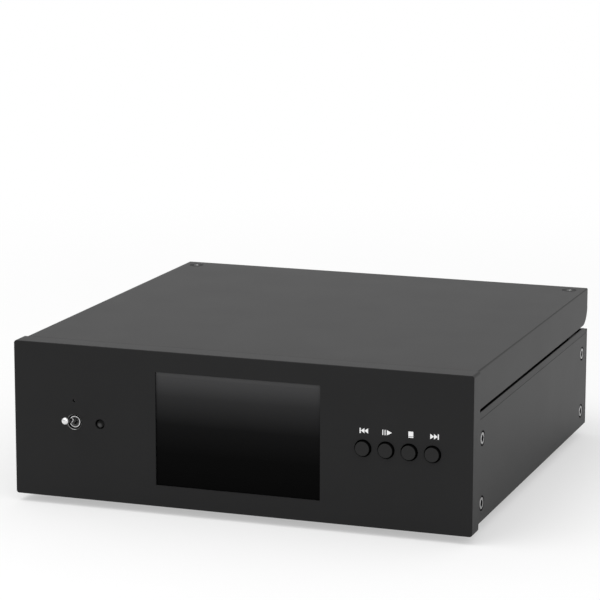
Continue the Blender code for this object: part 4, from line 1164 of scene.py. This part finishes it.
def small_screws(finish):
    """Low-headed screws that hold the deck, the rear plate and the main board."""
    hub = middle("turntable")
    rear_low, rear_high = corners("rear_panel")
    board_low, board_high = corners("main_board")
    base = corners("chassis_tray")[0].z
    rear_heights = (rear_low.z + SMALL_BOLT_INSET, rear_high.z - SMALL_BOLT_INSET)
    board_depths = (board_low.y + SMALL_BOLT_INSET, board_high.y - SMALL_BOLT_INSET)
    for side, side_name in SIDE_NAMES.items():
        for end, distance in DECK_BOLTS.items():
            place = (hub.x + side * DECK_BOLT_SPREAD, hub.y + distance, DECK_TOP + SCREW_RIM)
            small_screw(f"deck_bolt_{end}_{side_name}", place, "up", finish)
        for level, height in zip(LEVEL_NAMES, rear_heights):
            place = (side * (rear_high.x - SMALL_BOLT_INSET), rear_high.y + SCREW_RIM, height)
            small_screw(f"rear_bolt_{level}_{side_name}", place, "rear", finish)
        for end, depth in zip(END_NAMES, board_depths):
            place = (side * (board_high.x - SMALL_BOLT_INSET), depth, base - SCREW_RIM)
            small_screw(f"board_bolt_{end}_{side_name}", place, "down", finish)


def lid_side(shape, x, low, high):
    """A side of the lid, with an arc about the hinge. Gives the points that top and rear wall join."""
    hinge = joint_place("lid_hinge")
    front_low = shape.verts.new((x, low.y, low.z))
    front_high = shape.verts.new((x, low.y, high.z))
    rear_high = shape.verts.new((x, high.y, high.z))
    points = [shape.verts.new((x, high.y, hinge.z))]
    while len(points) <= LID_ARC_STEPS:
        grown = bmesh.ops.spin(
            shape,
            geom=[points[-1]],
            cent=(x, hinge.y, hinge.z),
            axis=(-1, 0, 0),
            angle=math.pi / 2 / LID_ARC_STEPS,
            steps=1,
        )["geom_last"]
        points += verts_among(grown)
    shape.faces.new([front_low, front_high, rear_high, *points])
    return [front_high, rear_high, *points[: LID_REAR_STEPS + 1]]


def lid_cover(finish):
    """A sheet of top, sides and rear, rounded below at the rear."""
    low, high = corners("lid")
    shape = bmesh.new()
    left = lid_side(shape, low.x, low, high)
    right = lid_side(shape, high.x, low, high)
    rims = [[shape.edges.new((left[row], right[row]))] for row in range(2)]
    for points, side in ((left, "left"), (right, "right")):
        rims.append([shape.edges.get(points[:2])])
        rims.append(ring_about(shape, "lid_screw_" + side, "Z", high.z, SINK_RADIUS))
    filled(shape, *rims)
    for row in range(1, len(left) - 1):
        shape.faces.new((left[row], right[row], right[row + 1], left[row + 1]))
    thickened(shape)
    upper = {vert for vert in shape.verts if vert.co.z > high.z - WELD and abs(vert.co.x) > high.x - WELD}
    eased(shape, LID_EDGE, [edge for edge in shape.edges if set(edge.verts) <= upper])
    rear_face = {vert for vert in shape.verts if vert.co.y > high.y - WELD}
    eased(shape, SHEET_EDGE, [edge for edge in sharp_edges(shape) if set(edge.verts) <= rear_face])
    eased(shape, PLATE_EDGE)
    placed("lid_cover", shape, finish, "black_anodised", "lid", "lid")


def case_tray(finish):
    """The lower case: a sheet of floor and sides, with the screws' holes."""
    low, high = corners("chassis_tray")
    wall_top = high.z - RAIL_HEIGHT - RAIL_SEAM
    shape = bmesh.new()
    for side, x in (("left", low.x), ("right", high.x)):
        wall = square_rim(shape, "X", (low.y, low.z), (PLATE_FRONT, wall_top), x)
        nodes = ["side_screw_" + name for name in wall_screws(side)]
        filled(shape, wall, *[ring_about(shape, node, "X", x, SINK_RADIUS) for node in nodes])
    filled(shape, square_rim(shape, "Z", (low.x, low.y), (high.x, PLATE_FRONT), low.z))
    bmesh.ops.remove_doubles(shape, verts=shape.verts, dist=WELD)
    thickened(shape)
    eased(shape, PLATE_EDGE)
    placed("case_tray", shape, finish, "black_anodised", "case", "chassis_tray")


def wall_rails(finish):
    """A rail on each side wall, over a seam: slanted outside, level on top, and falling at the rear."""
    low, high = corners("chassis_tray")
    plate_top = corners("rear_panel")[1].z
    base = high.z - RAIL_HEIGHT
    top = high.z + RAIL_RISE
    for side, x in ((-1, low.x), (1, high.x)):
        inner = x - side * SHEET
        shape = bmesh.new()
        block(shape, (x, low.y, base), (inner, PLATE_FRONT, top))
        slanted(shape, (x, 0, base), (side * RAIL_HEIGHT, 0, RAIL_SLANT))
        slanted(shape, (x - side * (RAIL_SLANT + RAIL_TOP), 0, top), (-side, 0, 1))
        slanted(shape, (0, PLATE_FRONT, plate_top), (0, top - plate_top, RAIL_TAIL))
        eased(shape, PLATE_EDGE)
        block(shape, (inner, low.y, base - RAIL_SEAM), (inner + side * RAIL_FOOT, PLATE_FRONT, base))
        placed("wall_rail_" + SIDE_NAMES[side], shape, finish, "black_anodised", "case")


def rear_plate(finish):
    """A plate across the whole rear, with a hole for each socket."""
    rear, top = corners("rear_panel")[1].yz
    low, high = corners("chassis_tray")
    shape = bmesh.new()
    rims = [square_rim(shape, "Y", (low.x, low.z), (high.x, top), rear)]
    necks = {"balanced_socket": BALANCED_NECK, "coaxial_socket": COAXIAL_NECK, "power_inlet": POWER_NECK}
    for node, neck in necks.items():
        rims.append(ring_about(shape, node, "Y", rear, neck + FIT))
    for node, neck in (("optical_socket", (OPTICAL_NECK, OPTICAL_NECK)), ("link_socket", LINK_NECK)):
        rims.append(oblong_about(shape, node, rear, *[half + FIT for half in neck]))
    filled(shape, *rims)
    filled(shape, *[sunk(shape, rim, "Y", -SHEET) for rim in rims])
    eased(shape, PLATE_EDGE)
    placed("rear_plate", shape, finish, "black_anodised", "case", "rear_panel")


def rear_flanges(finish):
    """Two uprights that the rear plate is screwed to."""
    low, high = corners("rear_panel")
    top = high.z - REAR_FLANGE_DROP
    shape = bmesh.new()
    for x in (low.x, high.x):
        inner = x - math.copysign(REAR_FLANGE, x)
        block(shape, (x, low.y, low.z), (inner, PLATE_FRONT - WELD, top))
    eased(shape, PLATE_EDGE)
    placed("rear_flanges", shape, finish, "black_anodised", "case")


def foot_profile(radius, low, high):
    """A foot with a recess below and a neck under the case."""
    return [
        (0, low + FOOT_RECESS_DEPTH),
        (FOOT_RECESS, low + FOOT_RECESS_DEPTH),
        (FOOT_RECESS + 0.3, low + 0.3),
        (FOOT_RECESS + 0.7, low),
        (radius - 1.0, low),
        (radius - 0.3, low + 0.3),
        (radius, low + 1.0),
        (radius, high - 1.2),
        (radius - FOOT_NECK, high - 0.9),
        (radius - FOOT_NECK, high),
        (0, high),
    ]


def damper_profile(radius, low, high):
    """A bush with a waist, between the drive base and the deck."""
    waist = (low + high) / 2
    return [
        (0, low),
        (radius - DAMPER_EDGE, low),
        (radius, low + DAMPER_EDGE),
        (radius, waist - 2 * DAMPER_WAIST),
        (radius - DAMPER_WAIST, waist - DAMPER_WAIST),
        (radius - DAMPER_WAIST, waist + DAMPER_WAIST),
        (radius, waist + 2 * DAMPER_WAIST),
        (radius, high - DAMPER_EDGE),
        (radius - DAMPER_EDGE, high),
        (0, high),
    ]


def rubber_mounts(kind, profile, rubber):
    """Four mounts of a kind, one near each corner."""
    for end in END_NAMES:
        for node in by_side(f"{kind}_{end}_"):
            low, high = corners(node)
            shape = turned_about(node, "Z", profile(radius_of(node), low.z, high.z))
            placed("rubber_" + node, shape, rubber, "black_rubber", "case", node)


def disc_table(plastic):
    """The disc's table with its spigot, and a groove for the grip ring."""
    low, high = corners("turntable")
    radius = radius_of("turntable")
    table = low.z + TABLE_THICKNESS
    profile = [
        (0, high.z - SHAFT_BORE_END),
        (SHAFT_BORE, high.z - SHAFT_BORE_END),
        (SHAFT_BORE, low.z),
        (radius - TABLE_EDGE, low.z),
        (radius, low.z + TABLE_EDGE),
        (radius, table - TABLE_EDGE),
        (radius - TABLE_EDGE, table),
        (radius - GRIP_START, table),
        (radius - GRIP_START, table - GRIP_DEPTH),
        (radius - GRIP_END, table - GRIP_DEPTH),
        (radius - GRIP_END, table),
        (SPIGOT_RADIUS + 0.2, table),
        (SPIGOT_RADIUS, table + 0.2),
        (SPIGOT_RADIUS, high.z - 0.6),
        (SPIGOT_RADIUS - 0.6, high.z),
        (SPIGOT_DIMPLE, high.z),
        (SPIGOT_DIMPLE - 0.3, high.z - SPIGOT_DIMPLE_DEPTH),
        (0, high.z - SPIGOT_DIMPLE_DEPTH),
    ]
    shape = turned_about("turntable", "Z", profile)
    placed("disc_table", shape, plastic, "black_plastic", "spindle", "turntable")


def disc_grip_ring(rubber):
    """A ring in the table's groove, just proud of it."""
    table = corners("turntable")[0].z + TABLE_THICKNESS
    base = table - GRIP_DEPTH + PLAY
    outer = radius_of("turntable") - GRIP_START - GRIP_PLAY
    inner = radius_of("turntable") - GRIP_END + GRIP_PLAY
    profile = [
        (outer, base),
        (outer, table - 0.05),
        (outer - 0.2, table + 0.03),
        (inner + 0.2, table + 0.03),
        (inner, table - 0.05),
        (inner, base),
        (outer, base),
    ]
    placed("disc_grip_ring", turned_about("turntable", "Z", profile), rubber, "black_rubber", "spindle")


def puck_body(steel):
    """A grooved weight with a dished top, recessed below for the spigot."""
    low, high = corners("disc_puck")
    radius = radius_of("disc_puck")
    recess = SPIGOT_RADIUS + FIT
    spigot_top = corners("turntable")[1].z + FIT
    groove_radius = radius - PUCK_GROOVE_DEPTH
    pitch = (high.z - low.z - PUCK_LOWER_BAND - PUCK_UPPER_BAND) / PUCK_GROOVES
    profile = [
        (0, spigot_top),
        (recess, spigot_top),
        (recess, low.z),
        (radius - 0.5, low.z),
        (radius, low.z + 0.5),
    ]
    for groove in range(PUCK_GROOVES):
        start = low.z + PUCK_LOWER_BAND + groove * pitch
        profile += [
            (radius, start),
            (groove_radius, start + 0.2),
            (groove_radius, start + pitch - 0.4),
            (radius, start + pitch - 0.2),
        ]
    profile += [
        (radius, high.z - PUCK_EDGE),
        (radius - PUCK_EDGE, high.z),
        (PUCK_DISH, high.z),
        (PUCK_DISH - 0.4, high.z - PUCK_DISH_DEPTH),
        (0, high.z - PUCK_DISH_DEPTH),
    ]
    shape = turned_about("turntable", "Z", profile, 2 * SIDES)
    placed("puck_body", shape, steel, "bright_steel", "puck", "disc_puck")


def lens_holder(plastic):
    """A ring on a stem, with a seat for the objective's glass."""
    low = corners("objective_lens")[0].z
    radius = radius_of("objective_lens")
    base = low + OBJECTIVE_STEM_HEIGHT
    top = base + OBJECTIVE_RING_HEIGHT
    seat = base + OBJECTIVE_SEAT
    profile = [
        (0, low),
        (OBJECTIVE_STEM, low),
        (OBJECTIVE_STEM, base),
        (radius - 0.2, base),
        (radius, base + 0.2),
        (radius, top - 0.3),
        (radius - 0.3, top),
        (OBJECTIVE_GLASS + 0.25, top),
        (OBJECTIVE_GLASS + 0.05, seat),
        (0, seat),
    ]
    shape = turned_about("objective_lens", "Z", profile)
    placed("lens_holder", shape, plastic, "black_plastic", "lens", "objective_lens")


def lens_glass(glass):
    """A dome on the holder's seat."""
    low, high = corners("objective_lens")
    base = low.z + OBJECTIVE_STEM_HEIGHT + OBJECTIVE_SEAT + PLAY
    profile = [(0, base), *arc(base, OBJECTIVE_GLASS, high.z - base, 0, math.pi / 2)]
    placed("lens_glass", turned_about("objective_lens", "Z", profile), glass, "clear_plastic", "lens")


def socket_shell(shape, node, front, mouth, depth, neck, *holes):
    """Closes a socket's shell: a flange with a blind mouth and open holes, on a neck through the plate."""
    low, high = corners(node)
    filled(shape, front, mouth, *holes)
    filled(shape, sunk(shape, mouth, "Y", -depth))
    backs = [sunk(shape, rim, "Y", SOCKET_SEAT - high.y) for rim in (front, *holes)]
    filled(shape, neck, *backs)
    filled(shape, sunk(shape, neck, "Y", low.y - SOCKET_SEAT))


def balanced_bolt_places():
    """Where the balanced socket's two bolts are, in x and z."""
    x, z = axis_of("balanced_socket", "Y")
    across, up = BALANCED_BOLT_PLACE
    return [(x + way * across, z + way * up) for way in (-1, 1)]


def balanced_shell(black):
    """A flange with a round mouth and two holes, on a round neck."""
    node = "balanced_socket"
    rear = corners(node)[1].y
    shape = bmesh.new()
    front = outline_of(shape, node, rear, 0.0, BALANCED_CORNER)
    mouth = ring_about(shape, node, "Y", rear, BALANCED_BORE)
    neck = ring_about(shape, node, "Y", SOCKET_SEAT, BALANCED_NECK)
    places = balanced_bolt_places()
    holes = [round_rim(shape, "Y", place, rear, BALANCED_BOLT_HOLE, FEW_SIDES) for place in places]
    socket_shell(shape, node, front, mouth, BALANCED_DEPTH, neck, *holes)
    eased(shape, BALANCED_EDGE)
    placed("balanced_shell", shape, black, "black_anodised", "case", node)


def balanced_pins(gold):
    rear = corners("balanced_socket")[1].y
    floor = rear - BALANCED_DEPTH + PLAY
    end = rear - BALANCED_PIN_END
    x, z = axis_of("balanced_socket", "Y")
    profile = [
        (0, floor),
        (BALANCED_PIN, floor),
        (BALANCED_PIN, end - 0.95),
        (BALANCED_PIN - 0.2, end - 0.45),
        (BALANCED_PIN - 0.7, end - 0.1),
        (0, end),
    ]
    shape = bmesh.new()
    for angle in map(math.radians, BALANCED_PIN_ANGLES):
        place = (x + BALANCED_PIN_CIRCLE * math.cos(angle), z - BALANCED_PIN_CIRCLE * math.sin(angle))
        turned(shape, "Y", place, profile, FEW_SIDES)
    placed("balanced_pins", shape, gold, "brass", "case")


def balanced_bolts(steel):
    rear = corners("balanced_socket")[1].y
    profile = [
        (0, SOCKET_SEAT + 0.1),
        (BALANCED_BOLT, SOCKET_SEAT + 0.1),
        (BALANCED_BOLT, rear - 0.25),
        (BALANCED_BOLT - 0.2, rear - 0.05),
        (BALANCED_BOLT - 0.7, rear - 0.02),
        (BALANCED_BOLT - 0.75, rear - 0.5),
        (0, rear - 0.5),
    ]
    shape = bmesh.new()
    for place in balanced_bolt_places():
        turned(shape, "Y", place, profile, FEW_SIDES)
    placed("balanced_bolts", shape, steel, "bright_steel", "case")


def coaxial_sleeve(gold):
    """A tube with a groove near its nut and a blind bore."""
    low, high = corners("coaxial_socket")
    rear = high.y
    nut_end = SOCKET_SEAT + COAXIAL_NUT_HEIGHT
    profile = [
        (0, low.y),
        (COAXIAL_NECK, low.y),
        (COAXIAL_NECK, nut_end - 0.1),
        (COAXIAL_SLEEVE - 0.5, nut_end - 0.1),
        (COAXIAL_SLEEVE, nut_end + 0.4),
        (COAXIAL_SLEEVE, nut_end + 1.2),
        (COAXIAL_SLEEVE - 0.35, nut_end + 1.5),
        (COAXIAL_SLEEVE, nut_end + 1.8),
        (COAXIAL_SLEEVE, rear - 0.4),
        (COAXIAL_SLEEVE - 0.3, rear),
        (COAXIAL_BORE + 0.1, rear),
        (COAXIAL_BORE, rear - 0.2),
        (COAXIAL_BORE, rear - COAXIAL_DEPTH),
        (0, rear - COAXIAL_DEPTH),
    ]
    shape = turned_about("coaxial_socket", "Y", profile)
    placed("coaxial_sleeve", shape, gold, "brass", "case", "coaxial_socket")


def coaxial_nut(gold):
    shape = bmesh.new()
    rims = [
        ring_about(shape, "coaxial_socket", "Y", SOCKET_SEAT, COAXIAL_NUT, HEXAGON),
        ring_about(shape, "coaxial_socket", "Y", SOCKET_SEAT, COAXIAL_NECK + PLAY),
    ]
    filled(shape, *rims)
    filled(shape, *[sunk(shape, rim, "Y", COAXIAL_NUT_HEIGHT - 0.15) for rim in rims])
    eased(shape, SOCKET_EDGE)
    placed("coaxial_nut", shape, gold, "brass", "case")


def coaxial_insulator(white):
    """A lining in the sleeve's bore."""
    rear = corners("coaxial_socket")[1].y
    floor = rear - COAXIAL_DEPTH + 0.1
    outer = COAXIAL_BORE - PLAY
    profile = [
        (COAXIAL_CORE, floor),
        (COAXIAL_CORE, rear - 1.0),
        (COAXIAL_CORE + 0.3, rear - 0.6),
        (outer - 0.2, rear - 0.6),
        (outer, rear - 0.9),
        (outer, floor),
        (COAXIAL_CORE, floor),
    ]
    shape = turned_about("coaxial_socket", "Y", profile)
    placed("coaxial_insulator", shape, white, "white_plastic", "case")


def optical_shell(plastic):
    """A flange with a square mouth, on a square neck."""
    node = "optical_socket"
    rear = corners(node)[1].y
    shape = bmesh.new()
    front = outline_of(shape, node, rear, 0.0, OPTICAL_CORNER)
    mouth = oblong_about(shape, node, rear, OPTICAL_MOUTH, OPTICAL_MOUTH, OPTICAL_MOUTH_CORNER)
    neck = oblong_about(shape, node, SOCKET_SEAT, OPTICAL_NECK, OPTICAL_NECK)
    socket_shell(shape, node, front, mouth, OPTICAL_DEPTH, neck)
    eased(shape, SOCKET_EDGE)
    placed("optical_shell", shape, plastic, "black_plastic", "case", node)


def optical_shutter(plastic):
    """A flap with a dimple, that closes the optical socket's mouth."""
    node = "optical_socket"
    face = corners(node)[1].y - SHUTTER_SINK
    half = OPTICAL_MOUTH - SHUTTER_PLAY
    shape = bmesh.new()
    flap = oblong_about(shape, node, face, half, half, SHUTTER_CORNER)
    dimple = oblong_about(shape, node, face, SHUTTER_DIMPLE, SHUTTER_DIMPLE, SHUTTER_DIMPLE_CORNER)
    filled(shape, flap, dimple)
    filled(shape, sunk(shape, dimple, "Y", -SHUTTER_DIMPLE_DEPTH))
    filled(shape, sunk(shape, flap, "Y", -SHUTTER_THICKNESS))
    eased(shape, SHUTTER_EDGE)
    placed("optical_shutter", shape, plastic, "black_plastic", "case")


def link_tongue(black):
    rear = corners("link_socket")[1].y
    floor = rear - LINK_DEPTH + PLAY
    x, z = axis_of("link_socket", "Y")
    shape = bmesh.new()
    block(shape, (x - LINK_TONGUE, floor, z - 0.2), (x + LINK_TONGUE, rear - 1.6, z + 1.0))
    eased(shape, SOCKET_EDGE)
    placed("link_tongue", shape, black, "black_plastic", "case")


def link_contacts(gold):
    """A row of contacts under the tongue."""
    rear = corners("link_socket")[1].y
    floor = rear - LINK_DEPTH + 0.5
    x, z = axis_of("link_socket", "Y")
    start = x - (LINK_CONTACTS - 1) / 2 * LINK_CONTACT_PITCH
    shape = bmesh.new()
    for order in range(LINK_CONTACTS):
        centre = start + order * LINK_CONTACT_PITCH
        low = (centre - LINK_CONTACT, floor, z - 0.3)
        block(shape, low, (centre + LINK_CONTACT, rear - 2.0, z - 0.22))
    placed("link_contacts", shape, gold, "brass", "case")


def power_shell(black):
    """A round flange and neck with a blind bore."""
    low, high = corners("power_inlet")
    rear = high.y
    flange = radius_of("power_inlet")
    profile = [
        (0, rear - POWER_DEPTH),
        (POWER_BORE, rear - POWER_DEPTH),
        (POWER_BORE, rear - 0.5),
        (POWER_BORE + 0.4, rear),
        (flange - 0.4, rear),
        (flange, rear - 0.4),
        (flange, SOCKET_SEAT),
        (POWER_NECK, SOCKET_SEAT),
        (POWER_NECK, low.y),
        (0, low.y),
    ]
    shape = turned_about("power_inlet", "Y", profile)
    placed("power_shell", shape, black, "black_plastic", "case", "power_inlet")


def power_pin(steel):
    rear = corners("power_inlet")[1].y
    floor = rear - POWER_DEPTH + PLAY
    end = rear - POWER_PIN_END
    profile = [
        (0, floor),
        (POWER_PIN, floor),
        (POWER_PIN, end - 0.6),
        (POWER_PIN - 0.2, end - 0.2),
        (POWER_PIN - 0.6, end),
        (0, end),
    ]
    shape = turned_about("power_inlet", "Y", profile, FEW_SIDES)
    placed("power_pin", shape, steel, "bright_steel", "case")


def studio():
    """The floor, a white surround and two soft lamps."""
    shape = bmesh.new()
    bmesh.ops.create_grid(shape, x_segments=1, y_segments=1, size=FLOOR_HALF * MILLIMETRE)
    mesh = bpy.data.meshes.new("floor")
    shape.to_mesh(mesh)
    shape.free()
    mesh.materials.append(floor_finish())
    floor = bpy.data.objects.new("floor", mesh)
    floor.location.z = -FLOOR_DROP * MILLIMETRE
    bpy.context.collection.objects.link(floor)

    world = bpy.data.worlds.new("studio")
    bpy.context.scene.world = world
    world.use_nodes = True
    backdrop = world.node_tree.nodes["Background"]
    backdrop.inputs["Color"].default_value = (1.0, 1.0, 1.0, 1.0)
    backdrop.inputs["Strength"].default_value = WORLD_LEVEL
    for name, place, aim, size, power in LAMPS:
        light = bpy.data.lights.new(name, "AREA")
        light.shape = "SQUARE"
        light.size = size
        light.energy = power
        lamp = bpy.data.objects.new(name, light)
        bpy.context.collection.objects.link(lamp)
        lamp.location = place
        lamp.rotation_euler = (Vector(aim) - Vector(place)).to_track_quat("-Z", "Y").to_euler()


def camera():
    low = corners("front_panel")[0]
    aim = CAMERA_AIM + Vector((0, low.y, low.z))
    flat = math.cos(CAMERA_ELEVATION)
    back = Vector((
        flat * math.sin(CAMERA_AZIMUTH),
        -flat * math.cos(CAMERA_AZIMUTH),
        math.sin(CAMERA_ELEVATION),
    ))
    right = Vector((math.cos(CAMERA_AZIMUTH), math.sin(CAMERA_AZIMUTH), 0))
    up = back.cross(right)
    turn = Matrix((right, up, back)).transposed().to_4x4() @ Matrix.Rotation(CAMERA_ROLL, 4, "Z")
    data = bpy.data.cameras.new("camera")
    data.lens = CAMERA_LENS
    item = bpy.data.objects.new("camera", data)
    bpy.context.collection.objects.link(item)
    item.matrix_world = Matrix.Translation((aim + back * CAMERA_DISTANCE) * MILLIMETRE) @ turn
    bpy.context.scene.camera = item


case_black = anodised()
black_plastic = moulded("black_plastic", grey(0.010), grey(0.018), 0.5, 0.35)
black_rubber = moulded("black_rubber", grey(0.012), grey(0.020), 0.78, 0.5)
grey_rubber = moulded("grey_rubber", grey(0.045), grey(0.07), 0.6, 0.3)
white_plastic = moulded("white_plastic", (0.72, 0.71, 0.67), (0.78, 0.77, 0.74), 0.42, 0.4)
white_print = moulded("white_print", grey(0.78), grey(0.86), 0.6, 0.2)
chrome = plated("chrome", grey(0.74), (0.80, 0.80, 0.81), 0.10)
bright_steel = plated("bright_steel", (0.36, 0.36, 0.37), (0.46, 0.46, 0.47), 0.30, (1.0, 1.0, 8.0))
black_steel = plated("black_steel", grey(0.05), grey(0.09), 0.34)
rim_steel = plated("rim_steel", grey(0.18), grey(0.25), 0.30)
gold_plate = plated("gold_plate", (0.70, 0.50, 0.20), (0.80, 0.60, 0.28), 0.22)
clear_plastic = clear("clear_plastic", (0.75, 0.80, 0.88), 0.08, 0.5)
smoked_plastic = clear("smoked_plastic", grey(0.02), 0.25, 0.12)

panel_face(case_black)
display_pane(screen_glass())
soft_piece("display_panel", "display_module", black_plastic, "black_plastic", MODULE_EDGE)
buttons(button_satin_and_painted_shade())
toggle_bushing(chrome)
toggle_body(black_plastic)
toggle_seal(grey_rubber)
toggle_rim(rim_steel)
toggle_bat(chrome)
light_pipe(smoked_plastic)
remote_window(dark_lens())
signs(white_print)
lid_cover(case_black)
case_tray(case_black)
wall_rails(case_black)
rear_plate(case_black)
rear_flanges(case_black)
screws(lid_bolt_steel(), side_bolt_steel_and_painted_shade())
small_screws(black_steel)
rubber_mounts("foot", foot_profile, black_rubber)
rubber_mounts("damper", damper_profile, black_rubber)
disc_table(black_plastic)
disc_grip_ring(black_rubber)
puck_body(bright_steel)
lens_holder(black_plastic)
lens_glass(clear_plastic)
balanced_shell(black_plastic)
balanced_pins(gold_plate)
balanced_bolts(bright_steel)
coaxial_sleeve(gold_plate)
coaxial_nut(gold_plate)
coaxial_insulator(white_plastic)
optical_shell(black_plastic)
optical_shutter(black_plastic)
soft_piece("link_shell", "link_socket", bright_steel, "bright_steel", SOCKET_EDGE)
link_tongue(black_plastic)
link_contacts(gold_plate)
power_shell(black_plastic)
power_pin(bright_steel)
frame_parts = by_side("corner_bar_", "hinge_block_", "hinge_bracket_")
soft_pieces(case_black, "black_anodised", CASE_EDGE, *frame_parts)
soft_pieces(bright_steel, "bright_steel", METAL_EDGE, *by_side("hinge_pin_"))
soft_pieces(deck_plastic(), "black_plastic", DECK_EDGE, "deck")
soft_pieces(black_plastic, "black_plastic", SLED_EDGE, "laser_sled")
spindle_parts = ("drive_base", "spindle_motor", "spindle_shaft")
sled_parts = ("guide_rod_front", "guide_rod_rear", "sled_motor")
soft_pieces(bright_steel, "bright_steel", METAL_EDGE, *spindle_parts, *sled_parts)
soft_pieces(white_plastic, "white_plastic", TOOTH_EDGE, "drive_gear")
soft_pieces(gold_plate, "brass", TOOTH_EDGE, "motor_pinion")
soft_pieces(circuit_board(), "circuit_board", BOARD_EDGE, "main_board", "button_board")

studio()
camera()
bpy.context.scene.view_settings.view_transform = "Standard"
